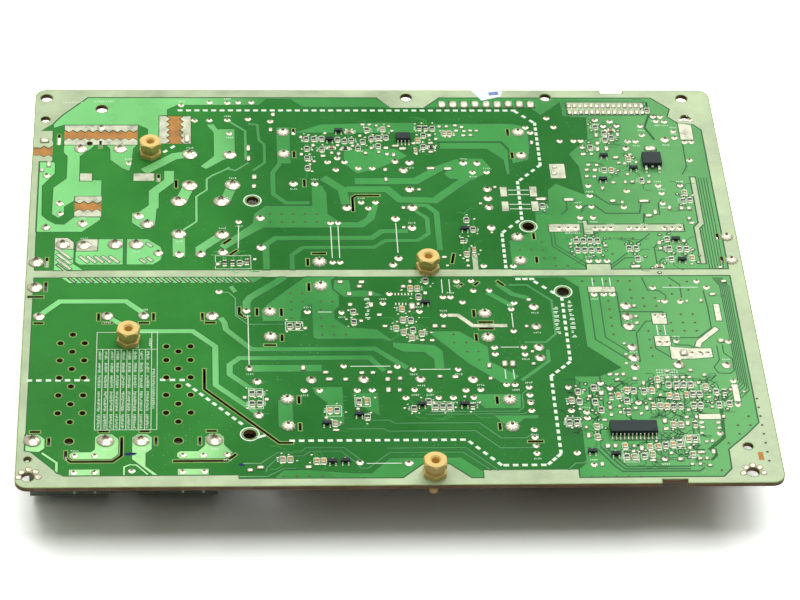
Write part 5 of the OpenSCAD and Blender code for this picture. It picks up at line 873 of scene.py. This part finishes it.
# %% Marks beside the chips and the joints
MARK_TALL = 0.95 * MM
PRINTED_HALF = np.array([112, 92]) * MM
chip_mid, chip_half = (chip_low + chip_high) / 2, (chip_high - chip_low) / 2
picked = rng.random(len(chip_mid)) < 0.75
side = rng.choice([-1.0, 1.0], picked.sum())
start = chip_mid[picked] + np.stack([side * (chip_half[picked, 0] + 0.95 * MM),
                                     -0.7 * chip_half[picked, 1]], axis=1)
step = np.tile([[0.0, 0.72 * MM]], (len(start), 1))
rows = [mark_rows(start, step, 3, MARK_TALL)]
inside = (np.abs(joint_mid) < PRINTED_HALF).all(axis=1)
picked = inside & (rng.random(len(joint_mid)) < 0.4)
side = rng.choice([-1.0, 1.0], picked.sum())
start = joint_mid[picked] + np.stack([-0.9 * MM + 0 * side, side * (joint_r[picked] + 1.1 * MM)], axis=1)
step = np.tile([[0.66 * MM, 0.0]], (len(start), 1))
rows.append(mark_rows(start, step, 4, MARK_TALL))
bars("print_marks", *joined(rows), "board_print", print_finish)

# %% [markdown]
# ## Toes of the packages
# Solder runs a little beyond the end of every gull-wing leg and catches the light there. Each toe is
# a pillow. It lies beyond its leg, on the side away from the middle of the package.

# %% Solder toes
def outward(offset, weight):
    """Unit steps along x or y, whichever has the larger weight, in the direction of offset."""
    rows = np.arange(len(offset))
    axis = weight.argmax(axis=1)
    step = np.zeros_like(offset)
    step[rows, axis] = np.sign(offset[rows, axis])
    return step


TOE_LONG, TOE_OUT, TOE_TALL = 0.95 * MM, 0.22 * MM, 0.22 * MM
leg_low, leg_high = islands("package_leads")
shell_low, shell_high = islands("transistor_bodies controller_body driver_body power_body")
leg_mid, leg_half = (leg_low + leg_high)[:, :2] / 2, (leg_high - leg_low)[:, :2] / 2
shell_mid, shell_half = (shell_low + shell_high)[:, :2] / 2, (shell_high - shell_low)[:, :2] / 2
reach_out = np.abs(leg_mid[:, None] - shell_mid[None]) / shell_half[None]
nearest = reach_out.max(axis=2).argmin(axis=1)
ahead = outward(leg_mid - shell_mid[nearest], reach_out[np.arange(len(leg_mid)), nearest])
toe = leg_mid + ahead * (leg_half + TOE_OUT)
toe_size = np.where(ahead != 0, TOE_LONG, leg_half * 2 + 0.24 * MM)
pillows("solder_toes", on_board(toe), np.column_stack([toe_size, np.full(len(toe), TOE_TALL)]), 0.0)

# %% [markdown]
# ## Test lands
# Between the chips there are many small tinned dots, for test needles and for joints that were left
# unused. Candidates are thrown round the chips at random, and those that would touch a neighbour go.

# %% Test lands
def clear_of(points, others, gap):
    """True for every row of points that is farther than gap from all rows of others."""
    away = np.linalg.norm(points[:, None] - others[None], axis=2)
    return (away > gap).all(axis=1)


LEFT_BARE, MIDDLE_BARE, DOTS_HALF = -45 * MM, 50 * MM, 91 * MM
DOT_ROOM = 1.5 * MM
crowd = chip_mid[(chip_mid[:, 0] > LEFT_BARE) | (np.abs(chip_mid[:, 1]) > MIDDLE_BARE)]
crowd = np.repeat(crowd, 4, axis=0)
a = rng.uniform(0, 2 * np.pi, len(crowd))
dots = crowd + np.stack([np.cos(a), np.sin(a)], axis=1) * rng.uniform(1.7, 3.2, (len(crowd), 1)) * MM
neighbours = ((chip_mid, 1.65 * MM), (joint_mid, joint_r + 0.8 * MM), (mound_foot[:, :2], 1.5 * MM),
              (leg_mid, 1.3 * MM), (shell_mid, shell_half.max(axis=1) + 0.8 * MM))
keep = np.abs(dots[:, 1]) < DOTS_HALF
for others, room in neighbours:
    keep &= clear_of(dots, others, room)
dots = dots[keep]
earlier = np.tril(np.linalg.norm(dots[:, None] - dots[None], axis=2) < DOT_ROOM, -1).any(axis=1)
dots = dots[~earlier]
dot_r = rng.uniform(0.36, 0.60, len(dots)) * MM
pillows("test_lands", on_board(dots), np.stack([dot_r * 2, dot_r * 1.7, dot_r * 0.45], 1),
        rng.uniform(-0.4, 0.4, len(dots)))

# %% [markdown]
# Solder also stands a little in front of every chip's caps, as a short slope towards the land.

# %% Fillets of the chips
SLOPE_LONG, SLOPE_TALL = 0.62 * MM, 0.16 * MM
cap_mid, cap_size = (cap_low + cap_high)[:, :2] / 2, (cap_high - cap_low)[:, :2]
toward = cap_mid - chip_mid[owner]
ahead = outward(toward, np.abs(toward))
slope = cap_mid + ahead * cap_size * 0.55
slope_size = np.where(ahead != 0, SLOPE_LONG, cap_size * 1.02)
pillows("chip_fillets", on_board(slope), np.column_stack([slope_size, np.full(len(slope), SLOPE_TALL)]),
        0.0)

# %% [markdown]
# ## Stamp on the slip
# A pale blue square was stamped on the paper slip at the far edge.

# %% Stamp
slip_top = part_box("sticker")[1].z
stamp_place, stamp_size = [[42.6 * MM, 97.2 * MM, slip_top]], np.array([[1.7, 0.9, 0.02]]) * MM
make_piece("slip_stamp", copies(bar, bar_faces, stamp_place, stamp_size, 0.15),
           finish("stamp_blue", (0.16, 0.26, 0.55), 0.7, patches=(0.4, 900)), smooth=False)

# %% [markdown]
# ## Fine tracks between the chips
# Each chip is reached by hair-thin tracks. On open mask they are lighter than their surroundings.
# Inside a copper plane only the gaps on both sides of a track show, as dark lines, and each land has
# a dark ring round it. A run leaves a chip's end, turns by half a right angle, then by another half.

# %% Fine runs
def runs(start, heading, bend, lengths, half_width):
    """Three bars in a row for every start. Corner k+1 = corner k + length k * (cos h, sin h), and the
    heading h grows by bend at each corner."""
    corner, centres, halves, angles = start, [], [], []
    for k in range(3):
        h = heading + k * bend
        ahead = np.stack([np.cos(h), np.sin(h)], axis=1) * lengths[:, k, None]
        centres.append(corner + ahead / 2)
        halves.append(np.stack([lengths[:, k] / 2 + half_width * 0.6,
                                np.full(len(start), half_width)], axis=1))
        angles.append(h)
        corner = corner + ahead
    return np.concatenate(centres), np.concatenate(halves), np.concatenate(angles)


def chip_runs(picked, offset, half_width):
    """Runs from the far and near ends of the picked chips, offset sideways."""
    up = rng.choice([-1.0, 1.0], picked.sum())
    ends = np.stack([offset + 0 * up, up * (chip_half[picked, 1] + 0.2 * MM)], axis=1)
    bend = rng.choice([-1.0, 1.0], len(up)) * np.pi / 4
    lengths = rng.uniform(0.8, 3.4, (len(up), 3)) * MM
    return runs(chip_mid[picked] + ends, up * np.pi / 2, bend, lengths, half_width)


PLANE_LEFT, PLANE_RIGHT, CROWDED_BELOW = 43 * MM, 106 * MM, -30 * MM


def in_plane(points):
    """True for the rows of points that lie in the copper plane on the right."""
    return (points[:, 0] > PLANE_LEFT) & (points[:, 0] < PLANE_RIGHT)


chips_in = in_plane(chip_mid)
rows = [chip_runs(chips_in & (rng.random(len(chips_in)) < 0.8), side * MM, 0.11 * MM)
        for side in (-0.55, 0.55, 0.2)]
crowded = chips_in & (chip_mid[:, 1] < CROWDED_BELOW)
rows += [chip_runs(crowded, side * MM, 0.15 * MM) for side in (-0.95, 0.95)]
gap_finish = finish("mask_gap", (0.012, 0.085, 0.024), 0.4, patches=(0.2, 200), specular=0.2)
bars("track_gaps", *joined(rows), "solder_mask", gap_finish, 0.008 * MM)
land_mid, land_r = np.concatenate([joint_mid, dots]), np.concatenate([joint_r, dot_r])
beside = in_plane(land_mid) & ~clear_of(land_mid, chip_mid, 4.5 * MM)
gap_r = land_r[beside] + 0.30 * MM
moat, moat_faces = turned([[1.0, 0.0], [0.97, 1.0], [0.4, 1.0]], 14)
make_piece("land_gaps", copies(moat, moat_faces, on_board(land_mid[beside]),
                               np.stack([gap_r, gap_r, np.full(len(gap_r), 0.006 * MM)], 1), 0.0),
           gap_finish)
rows = [chip_runs(~chips_in & (rng.random(len(chips_in)) < 0.8), side * MM, 0.13 * MM)
        for side in (-0.4, 0.4)]
bars("fine_tracks", *joined(rows), "masked_copper", copper_finish, 0.012 * MM)

# %% [markdown]
# The table under the left spacer is filled in columns that read from the side. Two tall rows of
# marks stand on each side of the isolation line, and a third in the middle of the board.

# %% Table and tall marks
TABLE_X = (-94.8, -92.8, -90.9, -89.1, -87.2, -85.3, -83.4, -81.4, -79.4)
TABLE_Y = ((-73.0, 10), (-65.2, 14), (-54.4, 9), (-47.2, 7), (-41.2, 6))
UPWARD = (
    (-77.5, -64.0, 22, 0.85, 1.0), (-78.6, -35.6, 5, 0.95, 1.2), (-82.8, -35.6, 5, 0.95, 1.2),
    (59.6, -31.2, 9, 2.1, 2.0), (54.6, -29.5, 7, 2.0, 1.9), (-7.6, -22.2, 6, 1.9, 2.0))
SIDEWAYS = ((85.0, -47.6), (85.0, -48.8), (85.0, -50.0), (85.0, -51.2), (-110.0, 92.0), (-99.0, 92.6))


def one_row(x, y, dx, dy, n, tall):
    """One row of marks, all measures in millimetres."""
    return mark_rows(np.array([[x, y]]) * MM, np.array([[dx, dy]]) * MM, n, tall * MM)


lines = [one_row(x, y, 0.0, 0.66, n, 1.15) for x in TABLE_X for y, n in TABLE_Y]
lines += [one_row(x, y, 0.0, pitch, n, tall) for x, y, n, pitch, tall in UPWARD]
lines += [one_row(x, y, 0.8, 0.0, 9, 0.9) for x, y in SIDEWAYS]
bars("table_marks", *joined(lines), "board_print", print_finish)

# %% [markdown]
# ## Small lands
# Round two corner holes the mask leaves a fan of discs for the star washer, each with a pool of
# solder inside a rim of flux. A small window shows bare laminate, and two strokes of marker complete
# the surface.

# %% Discs, window and marker
disc_places = on_board(np.array([
    (-118.85, -94.6), (-118, -92.4), (-115.8, -91.2), (-113.6, -92.2), (-112.8, -94.6),
    (106.9, -95), (108, -92.5), (110.2, -91.6), (112.4, -92.5), (113.4, -94.9)]) * MM)
life_size = np.ones((len(disc_places), 3))
disc_points, disc_faces = turned([[1.12, 0.0], [1.10, 0.05], [0.95, 0.055], [0.90, 0.03]], 20)
make_piece("disc_rims", copies(disc_points * MM, disc_faces, disc_places, life_size, 0.0),
           finish("flux", (0.30, 0.22, 0.09), 0.4, patches=(0.4, 500), bump=(2000, 0.3, 1)))
pool_points, pool_faces = turned([[0.92, 0.03], [0.80, 0.09], [0.50, 0.12], [0.15, 0.13]], 20)
make_piece("disc_pools", copies(pool_points * MM, pool_faces, disc_places, life_size, 0.0),
           solder_finish)
bars("bare_window", np.array([[113.5, -87.5]]) * MM, np.array([[0.85, 1.8]]) * MM, 0.0, "laminate",
     laminate_finish)
stroke_points, stroke_faces = turned([[1.0, 0.0], [0.96, 0.6], [0.5, 1.0]], 16)
stroke_places = on_board(np.array([(-84.6, -84.7), (-50.0, -89.8)]) * MM)
stroke_sizes = np.array([(2.1, 0.65, 0.02), (1.0, 0.55, 0.02)]) * MM
ink = finish("marker_ink", (0.004, 0.012, 0.11), 0.4, patches=(0.3, 300), specular=0.2)
make_piece("marker_strokes", copies(stroke_points, stroke_faces, stroke_places, stroke_sizes,
                                    [0.08, -0.3]), ink)

# %% [markdown]
# ## Lands wetted by the wave
# A bare land that has been through the wave is not flat like plating. Solder lies on it in shallow
# waves and gleams. Each small land is covered by a copy of its own solid, drawn in a hair at the
# sides and raised at the top.

# %% Wetted lands
def wetted(name, film, largest, lift, inset, material):
    """Copies of a film's smaller solids. x, y = centre + inset * (x, y - centre); top = top + lift."""
    points, tri = merged(film)
    low, high, row = boxes(points, tri)
    small = (high - low)[:, :2].max(axis=1) < largest
    mid = ((low + high) / 2)[row]
    moved = points.copy()
    moved[:, :2] = mid[:, :2] + (points - mid)[:, :2] * inset
    moved[:, 2] = np.where(points[:, 2] > TOP - 1e-5, TOP + lift, TOP)
    kept = tri[small[row][tri[:, 0]]]
    used, new = np.unique(kept, return_inverse=True)
    print(name, small.sum(), "lands")
    return make_piece(name, (moved[used], new.reshape(-1, 3)), material, smooth=False)


wave_finish = finish("wave_solder", (0.62, 0.63, 0.48), 0.34, 0.35, patches=(0.22, 260),
                     bump=(260, 0.8, 1))
wetted("wetted_lands", "tinned_copper", 26 * MM, 0.05 * MM, 0.985, wave_finish)
